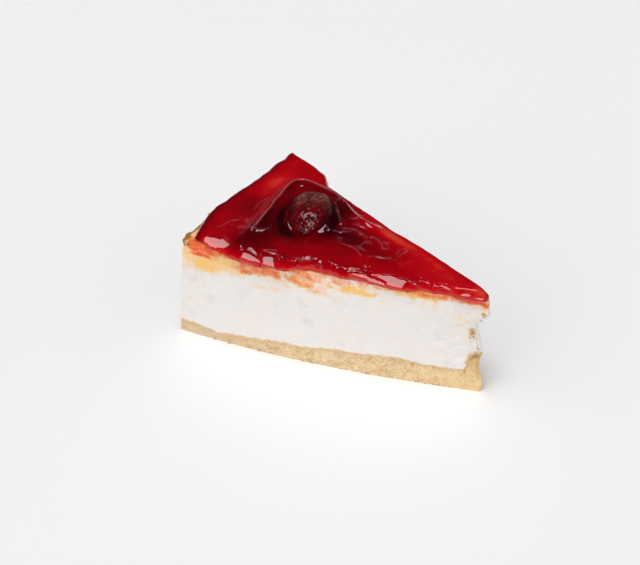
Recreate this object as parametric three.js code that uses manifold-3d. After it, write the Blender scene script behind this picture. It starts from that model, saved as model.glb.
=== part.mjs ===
// A slice of strawberry cheesecake, cut from a round cake of ten slices.
// Millimetres, +Z up. The origin is under the middle of the slice, at the bottom of the
// biscuit base. +X runs from the rim to the pointed tip, and -Y is the cut face that shows
// the layers best. From below: biscuit base, baked cheese filling, strawberry jelly, and one
// whole hulled strawberry lying in the jelly.
import * as THREE from 'three';
import { mergeVertices } from 'three/addons/utils/BufferGeometryUtils.js';
import Module from 'manifold-3d';

// Plan of the slice
const CAKE_RADIUS = 121;
const TIP_X = 59.7;
const AXIS_Y = -0.3;
const HALF_WIDTH_AT_RIM = 35;
const TIP_WIDTH = { front: 0.3, back: 1.3 };
const TIP_START = 1.3;
const TIP_BOW = 0.5;
const LEAST_WIDTH = 0.6;
const FRONT_SLOPE = 0.446;
const FRONT_BULGE = 0.00125;
const BACK_SLOPE = 0.301;
const CORNER_ROUNDING = { front: 0.2, back: 1.0 };

// Share of each half of the rim over which its corner rounds off
const CORNER_SHARE = 0.25;

// Heights of the layers
const FILLING_TOP = 43.8;
const FILLING_SHOULDER = { share: 0.06, drop: 1.6, squareFrom: 0.6, squareTo: 0.9 };
const FILLING_CUT_EDGE = { share: 0.07, drop: 0.5 };
const LAYER_GAP = 0.3;
const BASE_PROUD = 0.4;
const LUMP = { height: 7.5, flat: 3.8, fall: 2.4 };

// How far the rim leans in at the top of the filling, from the front cut at -1 to the back cut at 1
const RIM_LEAN_PROFILE = [
  [-1, 1.6], [-0.5, 3.2], [0, 4.9], [0.25, 5.8], [0.45, 5.7], [0.8, 3.4], [1, 1.3],
];

// Thickness of the biscuit base at distances from the tip, thick at the point and thin at the rim
const BASE_PROFILE = [
  [0, 9.4], [15, 8.4], [30, 9.6], [50, 8.2], [70, 6.3], [90, 4.6], [102, 3.0], [109, 4.7], [125, 4.2],
];

// How far the knife left the tip leaning out or in, at each height
const TIP_PROFILE = [
  [0, 0], [3, 0.6], [10, -0.8], [18, 0.4], [25, -1.2], [29, -2.5], [33, -0.8], [37, 2.4],
  [43, 3.1], [50, 3.1],
];
const TIP_PROFILE_REACH = 9;

// How far the back cut wanders out or in at the top, by distance from the tip: hollow along the
// middle, then a step out to the rim
const BACK_PROFILE = [
  [0, 0], [20, 0], [35, -0.9], [50, -2.3], [66, -2.2], [78, -2.6], [86, -2.7], [93, 1.0],
  [100, 1.6], [112, 0.4],
];

// Jelly
const JELLY_THICKNESS = 3.0;
const JELLY_LIP = 1.1;
const JELLY_WALL_BULGE = 0.3;
const JELLY_INSET = { front: 0.8, back: 0.5, rim: 1.6, tip: 1.0 };
const JELLY_FRONT_CORNER = { inset: 2.2, start: 0.5, share: 0.5 };
const MOUND_HEIGHT = 4.2;
const MOUND_BACK_EDGE = { from: 60, near: 12.5, to: 84, far: 19.5 };
const MOUND_RIM_EDGE = 98.5;
const MOUND_EDGE_WIDTH = 4.5;
const MOUND_FADE_TO_TIP = 34;
const MOUND_FADE_TO_FRONT = 30;
const MOUND_CORNER = 9;

// How far past the strawberry the heap keeps its full height
const MOUND_FULL = { tip: 5, front: 1.2 };

// Strawberry
const BERRY = { length: 23.5, width: 18.5, height: 10.8, fromTip: 78.5, y: -1.6, turnDeg: 116 };
const BERRY_SEEDS = { around: 9, along: 7, depth: 0.35 };
const BERRY_WIDEST = 0.6;
const BERRY_POINT = 1.4;
const BERRY_HULL = { narrowing: 0.3, power: 2.4, ring: 0.86, dip: 0.07 };
const POCKET_GAP = 0.35;

// Facets of each layer: along the slice, across it and up
const FACETS = {
  base: [34, 10, 2],
  filling: [34, 10, 7],
  jelly: [46, 22, 2],
  berry: [30, 22],
};

// How strongly facets crowd together near the tip and near both cut faces
const CROWDING = { along: 1.25, across: 0.35 };

const clamp = (value, low = 0, high = 1) => Math.min(high, Math.max(low, value));
const lerp = (a, b, share) => a + (b - a) * share;
const smooth = (value) => {
  const share = clamp(value);
  return share * share * (3 - 2 * share);
};

// Value of a named profile between its points, eased so that it has no kinks
function profileAt(profile, place) {
  const last = profile.length - 1;
  if (place <= profile[0][0]) return profile[0][1];
  if (place >= profile[last][0]) return profile[last][1];
  const upper = profile.findIndex(([at]) => at > place);
  const [fromPlace, fromValue] = profile[upper - 1];
  const [toPlace, toValue] = profile[upper];
  return lerp(fromValue, toValue, smooth((place - fromPlace) / (toPlace - fromPlace)));
}

// The two cut edges in plan, by distance from the tip
const frontEdge = (d) => -(TIP_WIDTH.front + FRONT_SLOPE * d - FRONT_BULGE * d * d);

function backEdge(d, z) {
  return TIP_WIDTH.back + BACK_SLOPE * d + profileAt(BACK_PROFILE, d) * smooth(z / FILLING_TOP);
}

// Distance from tip to rim on the line t, from -1 at the front cut to 1 at the back cut
function rimDistance(t) {
  const arc = Math.sqrt(CAKE_RADIUS ** 2 - (HALF_WIDTH_AT_RIM * t) ** 2);
  const corner = clamp((Math.abs(t) - 1 + CORNER_SHARE) / CORNER_SHARE);
  return arc - (t < 0 ? CORNER_ROUNDING.front : CORNER_ROUNDING.back) * corner ** 3;
}

// A point of the slice: s runs from tip to rim and t across it, both inside the given insets
function planPoint(s, t, z, inset) {
  const lean = (profileAt(RIM_LEAN_PROFILE, t) * z) / FILLING_TOP;
  const rim = rimDistance(t) - inset.rim - lean;
  const start = TIP_START + inset.tip + TIP_BOW * (t * t - 1);
  const d = lerp(start, rim, s);
  const front = frontEdge(d) + inset.front;
  const back = Math.max(front + LEAST_WIDTH, backEdge(d, z) - inset.back);
  const tipLean = profileAt(TIP_PROFILE, z) * Math.exp(-d / TIP_PROFILE_REACH);
  return { d, x: TIP_X - d + tipLean, y: AXIS_Y + lerp(front, back, (t + 1) / 2) };
}

// Top of the biscuit base, with the lump of crumb pressed up the point
function baseTop(d) {
  const lump = LUMP.height * (1 - smooth((d - LUMP.flat) / LUMP.fall));
  return profileAt(BASE_PROFILE, d) + lump;
}

// Thickness added to the jelly where it is heaped round the strawberry: it ends in a crest
// towards the rim and the back cut, and fades out towards the tip and the front cut
function moundHeight(d, y) {
  const { from, near, to, far } = MOUND_BACK_EDGE;
  const toRim = MOUND_RIM_EDGE - d;
  const toBack = lerp(near, far, smooth((d - from) / (to - from))) - y;
  const cornerX = clamp(MOUND_CORNER - toRim, 0, MOUND_CORNER * 2);
  const cornerY = clamp(MOUND_CORNER - toBack, 0, MOUND_CORNER * 2);
  const inside = MOUND_CORNER - Math.hypot(cornerX, cornerY);
  const crest = smooth(inside / MOUND_EDGE_WIDTH);
  const towardsTip = 1 - smooth((BERRY.fromTip - MOUND_FULL.tip - d) / MOUND_FADE_TO_TIP);
  const towardsFront = 1 - smooth((BERRY.y - MOUND_FULL.front - y) / MOUND_FADE_TO_FRONT);
  return MOUND_HEIGHT * crest * towardsTip * towardsFront;
}

// A closed solid from a box of facets, each of whose points is moved to its place
function layerGeometry([along, across, up], place) {
  const box = new THREE.BoxGeometry(1, 1, 1, along, across, up);
  box.deleteAttribute('normal');
  box.deleteAttribute('uv');
  const geometry = mergeVertices(box, 1e-5);
  const position = geometry.attributes.position;
  for (let i = 0; i < position.count; i += 1) {
    const share = [position.getX(i) + 0.5, position.getY(i) + 0.5, position.getZ(i) + 0.5];
    const [x, y, z] = place(...share);
    position.setXYZ(i, x, y, z);
  }
  return geometry;
}

const spacingAlong = (share) => (1 - share) ** CROWDING.along;

function spacingAcross(share) {
  const even = 2 * share - 1;
  return lerp(even, Math.sin((even * Math.PI) / 2), CROWDING.across);
}

const NO_INSET = { front: 0, back: 0, rim: 0, tip: 0 };

function baseGeometry() {
  return layerGeometry(FACETS.base, (u, v, w) => {
    const s = spacingAlong(u);
    const t = spacingAcross(v);
    const z = (baseTop(planPoint(s, 0, 0, NO_INSET).d) - LAYER_GAP) * w;
    const { x, y } = planPoint(s, t, z, { ...NO_INSET, rim: -BASE_PROUD });
    return [x, y, z];
  });
}

// The baked top is rounded over along the rim, except at the front cut, where the crust stands up
function fillingTop(s, t) {
  const { share, drop, squareFrom, squareTo } = FILLING_SHOULDER;
  const square = smooth((-t - squareFrom) / (squareTo - squareFrom));
  const rim = smooth((s - 1 + share) / share) ** 2 * (1 - square);
  const edge = smooth((Math.abs(t) - 1 + FILLING_CUT_EDGE.share) / FILLING_CUT_EDGE.share);
  return FILLING_TOP - drop * rim - FILLING_CUT_EDGE.drop * edge;
}

function fillingGeometry() {
  return layerGeometry(FACETS.filling, (u, v, w) => {
    const s = spacingAlong(u);
    const t = spacingAcross(v);
    const z = lerp(baseTop(planPoint(s, 0, 0, NO_INSET).d), fillingTop(s, t), w);
    const { x, y } = planPoint(s, t, z, NO_INSET);
    return [x, y, z];
  });
}

function jellyGeometry() {
  return layerGeometry(FACETS.jelly, (u, v, w) => {
    const s = spacingAlong(u);
    const t = spacingAcross(v);
    const lip = JELLY_LIP * w * w - JELLY_WALL_BULGE * w * (1 - w);
    const { inset: cornerInset, start, share } = JELLY_FRONT_CORNER;
    const corner = cornerInset * smooth((-start - t) / share);
    const inset = {
      front: JELLY_INSET.front + lip,
      back: JELLY_INSET.back + lip,
      rim: JELLY_INSET.rim + lip + corner,
      tip: JELLY_INSET.tip + lip,
    };
    const bottom = FILLING_TOP + LAYER_GAP;
    const { d, x, y } = planPoint(s, t, bottom, inset);
    const thickness = JELLY_THICKNESS + moundHeight(d, y - AXIS_Y);
    return [x, y, bottom + thickness * w];
  });
}

// Half outline of a strawberry, u from the pointed end at 0 to the hulled end at 1
function berryRadius(u) {
  const half = BERRY.width / 2;
  if (u < BERRY_WIDEST) return half * Math.sqrt(1 - (1 - u / BERRY_WIDEST) ** 2) ** BERRY_POINT;
  const past = (u - BERRY_WIDEST) / (1 - BERRY_WIDEST);
  return half * (1 - BERRY_HULL.narrowing * past ** BERRY_HULL.power);
}

// A lathe form along Z, pitted where the seeds sit, then laid down and pressed flat
function berryGeometry(grow) {
  const [around, along] = FACETS.berry;
  const profile = [new THREE.Vector2(0, 0)];
  for (let i = 1; i < along; i += 1) {
    const u = i / along;
    profile.push(new THREE.Vector2(berryRadius(u) + grow, u * BERRY.length));
  }
  profile.push(new THREE.Vector2(berryRadius(1) * BERRY_HULL.ring + grow, BERRY.length));
  profile.push(new THREE.Vector2(0, BERRY.length * (1 - BERRY_HULL.dip)));
  const lathe = new THREE.LatheGeometry(profile, around);
  lathe.deleteAttribute('normal');
  lathe.deleteAttribute('uv');
  const geometry = mergeVertices(lathe, 1e-4);
  const position = geometry.attributes.position;
  const stretch = 1 + (2 * grow) / BERRY.length;
  for (let i = 0; i < position.count; i += 1) {
    const angle = Math.atan2(position.getZ(i), position.getX(i));
    const rise = position.getY(i) / BERRY.length;
    const radius = Math.hypot(position.getX(i), position.getZ(i));
    const seeds = Math.cos(BERRY_SEEDS.around * angle) * Math.cos(BERRY_SEEDS.along * Math.PI * rise);
    const pit = grow > 0 || radius < 1 ? 0 : BERRY_SEEDS.depth * seeds;
    const scale = radius > 0 ? (radius - pit) / radius : 0;
    position.setXYZ(i, position.getX(i) * scale, position.getY(i) * stretch - grow, position.getZ(i) * scale);
  }
  geometry.translate(0, -BERRY.length / 2, 0);
  geometry.rotateZ(-Math.PI / 2);
  geometry.scale(1, 1, (BERRY.height + 2 * grow) / (BERRY.width + 2 * grow));
  geometry.rotateZ(THREE.MathUtils.degToRad(BERRY.turnDeg));
  const seat = FILLING_TOP + LAYER_GAP + BERRY.height / 2 + BERRY_SEEDS.depth;
  geometry.translate(TIP_X - BERRY.fromTip, AXIS_Y + BERRY.y, seat);
  return geometry;
}

const wasm = await Module();
wasm.setup();

function toManifold(geometry) {
  return new wasm.Manifold(new wasm.Mesh({
    numProp: 3,
    vertProperties: Float32Array.from(geometry.attributes.position.array),
    triVerts: Uint32Array.from(geometry.index.array),
  }));
}

function toGeometry(manifold) {
  const mesh = manifold.getMesh();
  const geometry = new THREE.BufferGeometry();
  geometry.setAttribute('position', new THREE.BufferAttribute(mesh.vertProperties, 3));
  geometry.setIndex(new THREE.BufferAttribute(mesh.triVerts, 1));
  return geometry;
}

// The jelly closes round the strawberry and leaves it a pocket of its own shape
const pocket = toManifold(berryGeometry(POCKET_GAP));
const jellyWithPocket = toGeometry(toManifold(jellyGeometry()).subtract(pocket));

const slice = new THREE.Group();
slice.name = 'strawberry_cheesecake_slice';

function addLayer(name, geometry, color, roughness) {
  const material = new THREE.MeshStandardMaterial({ color, roughness, metalness: 0 });
  geometry.computeVertexNormals();
  const mesh = new THREE.Mesh(geometry, material);
  mesh.name = name;
  slice.add(mesh);
}

addLayer('biscuit_base', baseGeometry(), '#dfb97f', 0.9);
addLayer('cheese_filling', fillingGeometry(), '#efe9e2', 0.6);
addLayer('strawberry_jelly', jellyWithPocket, '#a80614', 0.08);
addLayer('strawberry', berryGeometry(0), '#6e0a12', 0.4);

export default slice;
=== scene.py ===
"""A slice of strawberry cheesecake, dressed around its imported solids.

The slice has a pressed biscuit base, a baked cheese filling, a layer of strawberry jelly heaped
round one hulled strawberry, and a few loose crumbs. Sizes are millimetres until a mesh is built.
"""

import logging
import math
from dataclasses import dataclass, field, replace
from enum import Enum

import bmesh
import bpy
import numpy as np
from mathutils import Euler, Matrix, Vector


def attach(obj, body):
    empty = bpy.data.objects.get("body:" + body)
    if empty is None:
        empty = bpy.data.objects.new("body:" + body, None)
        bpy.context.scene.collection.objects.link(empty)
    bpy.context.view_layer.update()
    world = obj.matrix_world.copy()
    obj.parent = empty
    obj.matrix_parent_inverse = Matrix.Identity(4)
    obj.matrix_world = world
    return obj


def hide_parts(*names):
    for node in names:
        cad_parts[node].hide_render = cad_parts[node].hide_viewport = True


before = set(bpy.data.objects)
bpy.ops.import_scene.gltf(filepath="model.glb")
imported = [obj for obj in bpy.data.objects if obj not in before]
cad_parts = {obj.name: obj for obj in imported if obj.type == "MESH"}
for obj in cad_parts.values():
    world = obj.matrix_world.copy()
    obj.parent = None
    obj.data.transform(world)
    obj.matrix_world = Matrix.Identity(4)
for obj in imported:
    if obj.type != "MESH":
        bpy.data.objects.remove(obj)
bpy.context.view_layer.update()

MM = 0.001
BODY = "root"
LEAST_MM = 0.01
OFF_FLOOR_MM = 0.02
TINY = 1e-6
AT_END = 0.01
PARALLEL = 0.999
DOWNWARD = -0.5
ONLY_ACROSS = np.array([0.0, 1.0, 0.0])
LOG = logging.getLogger("cheesecake")


class Slot(Enum):
    """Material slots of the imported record."""

    BISCUIT = "biscuit"
    FILLING = "filling"
    JELLY = "jelly"
    BERRY = "berry"


class Along(Enum):
    """The three ways in which a block's edges run."""

    X = 0
    Y = 1
    Z = 2


def smooth(share: np.ndarray) -> np.ndarray:
    """Eases a share from 0 to 1 with no kinks at its ends."""
    held = np.clip(share, 0.0, 1.0)
    return held * held * (3.0 - 2.0 * held)


def profile(points: tuple, place: np.ndarray) -> np.ndarray:
    """Reads an eased profile.

    Args:
        points: (place, value) pairs in rising order.
        place: Where to read it.

    Returns:
        The value at each place.
    """
    place = np.asarray(place, float)
    at = np.array([point[0] for point in points], float)
    value = np.array([point[1] for point in points], float)
    upper = np.clip(np.searchsorted(at, place, side="right"), 1, len(at) - 1)
    share = smooth((place - at[upper - 1]) / (at[upper] - at[upper - 1]))
    return value[upper - 1] + (value[upper] - value[upper - 1]) * share


class Noise:
    """Smooth seeded noise from -1 to 1 on a repeating lattice."""

    CELLS = 32

    def __init__(self, seed: int) -> None:
        """Draws the lattice.

        Args:
            seed: Number that fixes the draw.
        """
        self.lattice = np.random.default_rng(seed).uniform(-1.0, 1.0, (self.CELLS,) * 3)

    def at(self, points: np.ndarray, size: float, stretch: tuple = (1.0, 1.0, 1.0)) -> np.ndarray:
        """Reads the noise.

        Args:
            points: Places in mm, one a row.
            size: Width of a bump in mm.
            stretch: How much longer a bump is along each axis.

        Returns:
            One value for each place.
        """
        scaled = points / (size * np.array(stretch)) + 0.37
        cell = np.floor(scaled).astype(int)
        share = smooth(scaled - cell)
        total = np.zeros(len(points))
        for corner in range(8):
            step = np.array([corner & 1, corner >> 1 & 1, corner >> 2 & 1])
            weight = np.prod(np.where(step == 1, share, 1.0 - share), axis=1)
            index = (cell + step) % self.CELLS
            total += weight * self.lattice[index[:, 0], index[:, 1], index[:, 2]]
        return total


@dataclass(frozen=True)
class Grain:
    """One size of unevenness: its draw's seed, its depth and bumps' width in mm, and their stretch."""

    seed: int
    depth: float
    size: float
    stretch: tuple = (1.0, 1.0, 1.0)

    def at(self, points: np.ndarray) -> np.ndarray:
        """Gives its height at places in mm."""
        return self.depth * Noise(self.seed).at(points, self.size, self.stretch)


def rough(grains: tuple, points: np.ndarray) -> np.ndarray:
    """Adds up several sizes of unevenness at places in mm."""
    return sum(grain.at(points) for grain in grains)


@dataclass(frozen=True)
class Ease:
    """A share that grows smoothly from 0 at one place to 1 at another, which may lie before it."""

    start: float
    end: float

    def at(self, place: np.ndarray) -> np.ndarray:
        """Gives the share at each place."""
        return smooth((place - self.start) / (self.end - self.start))


@dataclass(frozen=True)
class Hump:
    """A share that is 1 at its middle and dies away over its width on both sides."""

    middle: float
    width: float

    def at(self, place: np.ndarray) -> np.ndarray:
        """Gives the share at each place."""
        return np.exp(-((place - self.middle) / self.width) ** 2)


@dataclass(frozen=True)
class Inset:
    """How far a layer stays inside the slice's own outline on each side, in mm."""

    front: float = 0.0
    back: float = 0.0
    rim: float = 0.0
    tip: float = 0.0


@dataclass(frozen=True)
class SlicePlan:
    """Plan and heights of the slice, with the sizes that its solids have, in mm."""

    cake_radius: float = 121.0
    tip_x: float = 59.7
    axis_y: float = -0.3
    half_width_at_rim: float = 35.0
    tip_width_front: float = 0.3
    tip_width_back: float = 1.3
    tip_start: float = 1.3
    tip_bow: float = 0.5
    least_width: float = 0.6
    front_slope: float = 0.446
    front_bulge: float = 0.00125
    back_slope: float = 0.301
    corner_from: float = 0.75
    corner_front: float = 0.2
    corner_back: float = 1.0
    filling_top: float = 43.8
    filling_shoulder: float = 1.6
    shoulder_share: float = 0.06
    square_corner: Ease = Ease(-0.6, -0.9)
    cut_edge_share: float = 0.07
    cut_edge_drop: float = 0.5
    rim_lean_profile: tuple = ((-1, 1.6), (-0.5, 3.2), (0, 4.9), (0.25, 5.8), (0.45, 5.7), (0.8, 3.4),
                               (1, 1.3))
    layer_gap: float = 0.3
    base_proud: float = 0.4
    lump_height: float = 7.5
    lump_end: Ease = Ease(3.1, 5.1)
    tip_reach: float = 9.0
    base_profile: tuple = ((0, 9.4), (15, 8.4), (30, 9.6), (50, 8.2), (70, 6.3), (90, 4.6), (102, 3.0),
                           (109, 4.7), (125, 4.2))
    tip_profile: tuple = ((0, 0), (3, 0.6), (10, -0.8), (18, 0.4), (25, -1.2), (29, -2.5), (33, -0.8),
                          (37, 2.4), (43, 3.1), (50, 3.1))
    back_profile: tuple = ((0, 0), (20, 0), (35, -0.9), (50, -2.3), (66, -2.2), (78, -2.6), (86, -2.7),
                           (93, 1.0), (100, 1.6), (112, 0.4))

    def front_edge(self, d: np.ndarray) -> np.ndarray:
        """Gives y of the front cut at a distance from the tip."""
        return -(self.tip_width_front + self.front_slope * d - self.front_bulge * d * d)

    def back_edge(self, d: np.ndarray, z: np.ndarray) -> np.ndarray:
        """Gives y of the back cut at a distance from the tip and a height."""
        wander = profile(self.back_profile, d) * smooth(z / self.filling_top)
        return self.tip_width_back + self.back_slope * d + wander

    def rim_distance(self, t: np.ndarray) -> np.ndarray:
        """Gives the distance from tip to rim on the line t across the slice."""
        arc = np.sqrt(self.cake_radius ** 2 - (self.half_width_at_rim * t) ** 2)
        corner = np.clip((np.abs(t) - self.corner_from) / (1.0 - self.corner_from), 0.0, 1.0)
        return arc - np.where(t < 0, self.corner_front, self.corner_back) * corner ** 3

    def place(self, s: np.ndarray, t: np.ndarray, z: np.ndarray, inset: Inset) -> tuple:
        """Places points of a layer.

        Args:
            s: Share of the way from the tip, 0, to the rim, 1.
            t: Share of the way from the front cut, -1, to the back cut, 1.
            z: Height.
            inset: Distance kept from each side; its fields may be arrays.

        Returns:
            Distance from the tip, then x and y in the slice's frame.
        """
        rim = self.rim_distance(t) - inset.rim - profile(self.rim_lean_profile, t) * z / self.filling_top
        start = self.tip_start + inset.tip + self.tip_bow * (t * t - 1.0)
        d = start + (rim - start) * s
        front = self.front_edge(d) + inset.front
        back = np.maximum(front + self.least_width, self.back_edge(d, z) - inset.back)
        lean = profile(self.tip_profile, z) * np.exp(-d / self.tip_reach)
        return d, self.tip_x - d + lean, self.axis_y + front + (back - front) * (t + 1.0) / 2.0

    def base_top(self, s: np.ndarray) -> np.ndarray:
        """Gives the height of the biscuit base with its lump of crumb at the tip."""
        still = np.zeros_like(s)
        d, _, _ = self.place(s, still, still, Inset())
        lump = self.lump_height * (1.0 - self.lump_end.at(d))
        return profile(self.base_profile, d) + lump

    def baked_top(self, s: np.ndarray, t: np.ndarray) -> np.ndarray:
        """Gives the height of the filling's top, rounded over along the rim but not at the front corner."""
        rim = smooth((s - 1.0) / self.shoulder_share + 1.0) ** 2 * (1.0 - self.square_corner.at(t))
        edge = smooth((np.abs(t) - 1.0) / self.cut_edge_share + 1.0)
        return self.filling_top - self.filling_shoulder * rim - self.cut_edge_drop * edge


PLAN = SlicePlan()


def deselect_all() -> None:
    """Leaves nothing selected, the solids' nodes included."""
    bpy.ops.object.select_all(action="DESELECT")


def linear(code: str, alpha: float = 1.0) -> tuple:
    """Turns an sRGB hex colour to linear.

    Args:
        code: Colour such as "#a80614".
        alpha: Fourth value.

    Returns:
        Red, green, blue and alpha, linear.
    """
    shares = [int(code[i:i + 2], 16) / 255.0 for i in (1, 3, 5)]
    return tuple(c / 12.92 if c <= 0.04045 else ((c + 0.055) / 1.055) ** 2.4 for c in shares) + (alpha,)


def add_node(tree: bpy.types.NodeTree, kind: str, values: dict | None = None, links: dict | None = None,
             stops: tuple = (), **settings) -> bpy.types.Node:
    """Adds a node with its settings, values and links.

    Args:
        tree: Node tree to add it to.
        kind: Blender's name for the node, after the word ShaderNode.
        values: Input name or number to its value.
        links: Input name or number to the output that feeds it.
        stops: For a colour ramp, (place, hex colour) pairs.
        **settings: Properties of the node itself.

    Returns:
        The new node.
    """
    node = tree.nodes.new("ShaderNode" + kind)
    for name, value in settings.items():
        setattr(node, name, value)
    for name, value in (values or {}).items():
        node.inputs[name].default_value = value
    for name, output in (links or {}).items():
        tree.links.new(output, node.inputs[name])
    for index, (place, code) in enumerate(stops):
        elements = node.color_ramp.elements
        element = elements[index] if index < len(elements) else elements.new(place)
        element.position = place
        element.color = linear(code)
    return node


def scale_of(size_mm: float) -> float:
    """Gives the texture scale that makes a pattern's grain this wide."""
    return 1.0 / (size_mm * MM)


def new_surface(name: str) -> tuple:
    """Starts a material.

    Args:
        name: Its name.

    Returns:
        The material, its node tree, its shader and an output of Object coordinates.
    """
    material = bpy.data.materials.new(name)
    material.use_nodes = True
    tree = material.node_tree
    shader = tree.nodes["Principled BSDF"]
    place = add_node(tree, "TexCoord")
    return material, tree, shader, place.outputs["Object"]


@dataclass(frozen=True)
class PressedBiscuit:
    """Biscuit crumb pressed with butter: dry and matte, pale sand with lighter and darker crumbs."""

    sand: str = "#e1c299"
    pale: str = "#f4dcb1"
    toasted: str = "#cda26c"
    cloud_mm: float = 6.0
    crumb_mm: float = 0.8
    grit_mm: float = 0.4
    # The dull colour is painted bounce light, greying the base towards the rim; the others are the crumb's
    # own colour.
    painted: tuple = (("dull", "#dac2a0", 0.75), ("buttery", "#f5d4a0", 0.5), ("golden", "#dcb36c", 0.8))

    def material(self) -> bpy.types.Material:
        """Builds the finish and returns it."""
        material, tree, shader, place = new_surface("pressed_biscuit_crumb")
        crumbs = add_node(tree, "TexVoronoi", {"Scale": scale_of(self.crumb_mm), "Randomness": 1.0},
                          {"Vector": place})
        cloud = add_node(tree, "TexNoise", {"Scale": scale_of(self.cloud_mm), "Detail": 6.0,
                                            "Roughness": 0.7}, {"Vector": place})
        split = add_node(tree, "SeparateColor", links={"Color": crumbs.outputs["Color"]})
        tone = add_node(tree, "Math", {1: 0.42}, {0: split.outputs["Red"]}, operation="MULTIPLY")
        mixed = add_node(tree, "Math", links={0: tone.outputs[0], 1: cloud.outputs["Fac"]}, operation="ADD")
        ramp = add_node(tree, "ValToRGB", links={"Fac": mixed.outputs[0]},
                        stops=((0.36, self.toasted), (0.62, self.sand), (0.95, self.pale)))
        grit = add_node(tree, "TexNoise", {"Scale": scale_of(self.grit_mm), "Detail": 3.0},
                        {"Vector": place})
        height = add_node(tree, "Math", links={0: crumbs.outputs["Distance"], 1: grit.outputs["Fac"]},
                          operation="ADD")
        bump = add_node(tree, "Bump", {"Strength": 0.45, "Distance": 0.3 * MM},
                        {"Height": height.outputs[0]})
        colour = ramp.outputs["Color"]
        for name, code, most in self.painted:
            where = add_node(tree, "Attribute", attribute_name=name)
            part = add_node(tree, "Math", {1: most}, {0: where.outputs["Fac"]}, operation="MULTIPLY")
            mix = add_node(tree, "Mix", {"B": linear(code)}, {"Factor": part.outputs[0], "A": colour},
                           data_type="RGBA", blend_type="MIX")
            colour = mix.outputs["Result"]
        tree.links.new(colour, shader.inputs["Base Color"])
        tree.links.new(bump.outputs["Normal"], shader.inputs["Normal"])
        shader.inputs["Roughness"].default_value = 0.9
        shader.inputs["Specular IOR Level"].default_value = 0.25
        return material


@dataclass(frozen=True)
class BakedCheese:
    """Baked cream cheese, cut wet: a soft white satin face, gold and orange where it browned."""

    white: str = "#efebe9"
    shade: str = "#e8e2de"
    cream: str = "#f1e9df"
    gold: str = "#fbca7a"
    brown: str = "#a8702c"
    red: str = "#ec5a22"
    crumb: str = "#e3c294"
    cloud_mm: float = 9.0
    fleck_mm: float = 2.6
    pore_mm: float = 0.7

    def material(self) -> bpy.types.Material:
        """Builds the finish and returns it."""
        material, tree, shader, place = new_surface("baked_cream_cheese")
        cloud = add_node(tree, "TexNoise", {"Scale": scale_of(self.cloud_mm), "Detail": 6.0,
                                            "Roughness": 0.6}, {"Vector": place})
        paste = add_node(tree, "ValToRGB", links={"Fac": cloud.outputs["Fac"]},
                         stops=((0.28, self.shade), (0.45, self.white), (0.72, self.cream)))
        fleck = add_node(tree, "TexNoise", {"Scale": scale_of(self.fleck_mm), "Detail": 8.0,
                                            "Roughness": 0.72}, {"Vector": place})
        uneven = add_node(tree, "MapRange", {"From Min": 0.25, "From Max": 0.75, "To Min": -0.4,
                                             "To Max": 0.4}, {"Value": fleck.outputs["Fac"]})
        colour = paste.outputs["Color"]
        for name, code, low, high in (("crumbed", self.crumb, 0.15, 0.8), ("browned", self.gold, 0.15, 1.0),
                                      ("stained", self.red, 0.15, 1.05),
                                      ("toasted", self.brown, 0.45, 0.95)):
            painted = add_node(tree, "Attribute", attribute_name=name)
            total = add_node(tree, "Math", links={0: painted.outputs["Fac"], 1: uneven.outputs[0]},
                             operation="ADD")
            share = add_node(tree, "MapRange", {"From Min": low, "From Max": high},
                             {"Value": total.outputs[0]}, interpolation_type="SMOOTHSTEP")
            mix = add_node(tree, "Mix", {"B": linear(code)}, {"Factor": share.outputs[0], "A": colour},
                           data_type="RGBA")
            colour = mix.outputs["Result"]
        # The pores are drawn about twice as coarse as real ones, so that they show.
        pores = add_node(tree, "TexNoise", {"Scale": scale_of(self.pore_mm), "Detail": 4.0},
                         {"Vector": place})
        bump = add_node(tree, "Bump", {"Strength": 0.22, "Distance": 0.25 * MM},
                        {"Height": pores.outputs["Fac"]})
        tree.links.new(colour, shader.inputs["Base Color"])
        tree.links.new(bump.outputs["Normal"], shader.inputs["Normal"])
        shader.inputs["Roughness"].default_value = 0.5
        shader.inputs["Specular IOR Level"].default_value = 0.35
        shader.inputs["Subsurface Weight"].default_value = 0.2
        shader.inputs["Subsurface Radius"].default_value = (1.0, 0.8, 0.6)
        shader.inputs["Subsurface Scale"].default_value = 1.2 * MM
        return material


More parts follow.
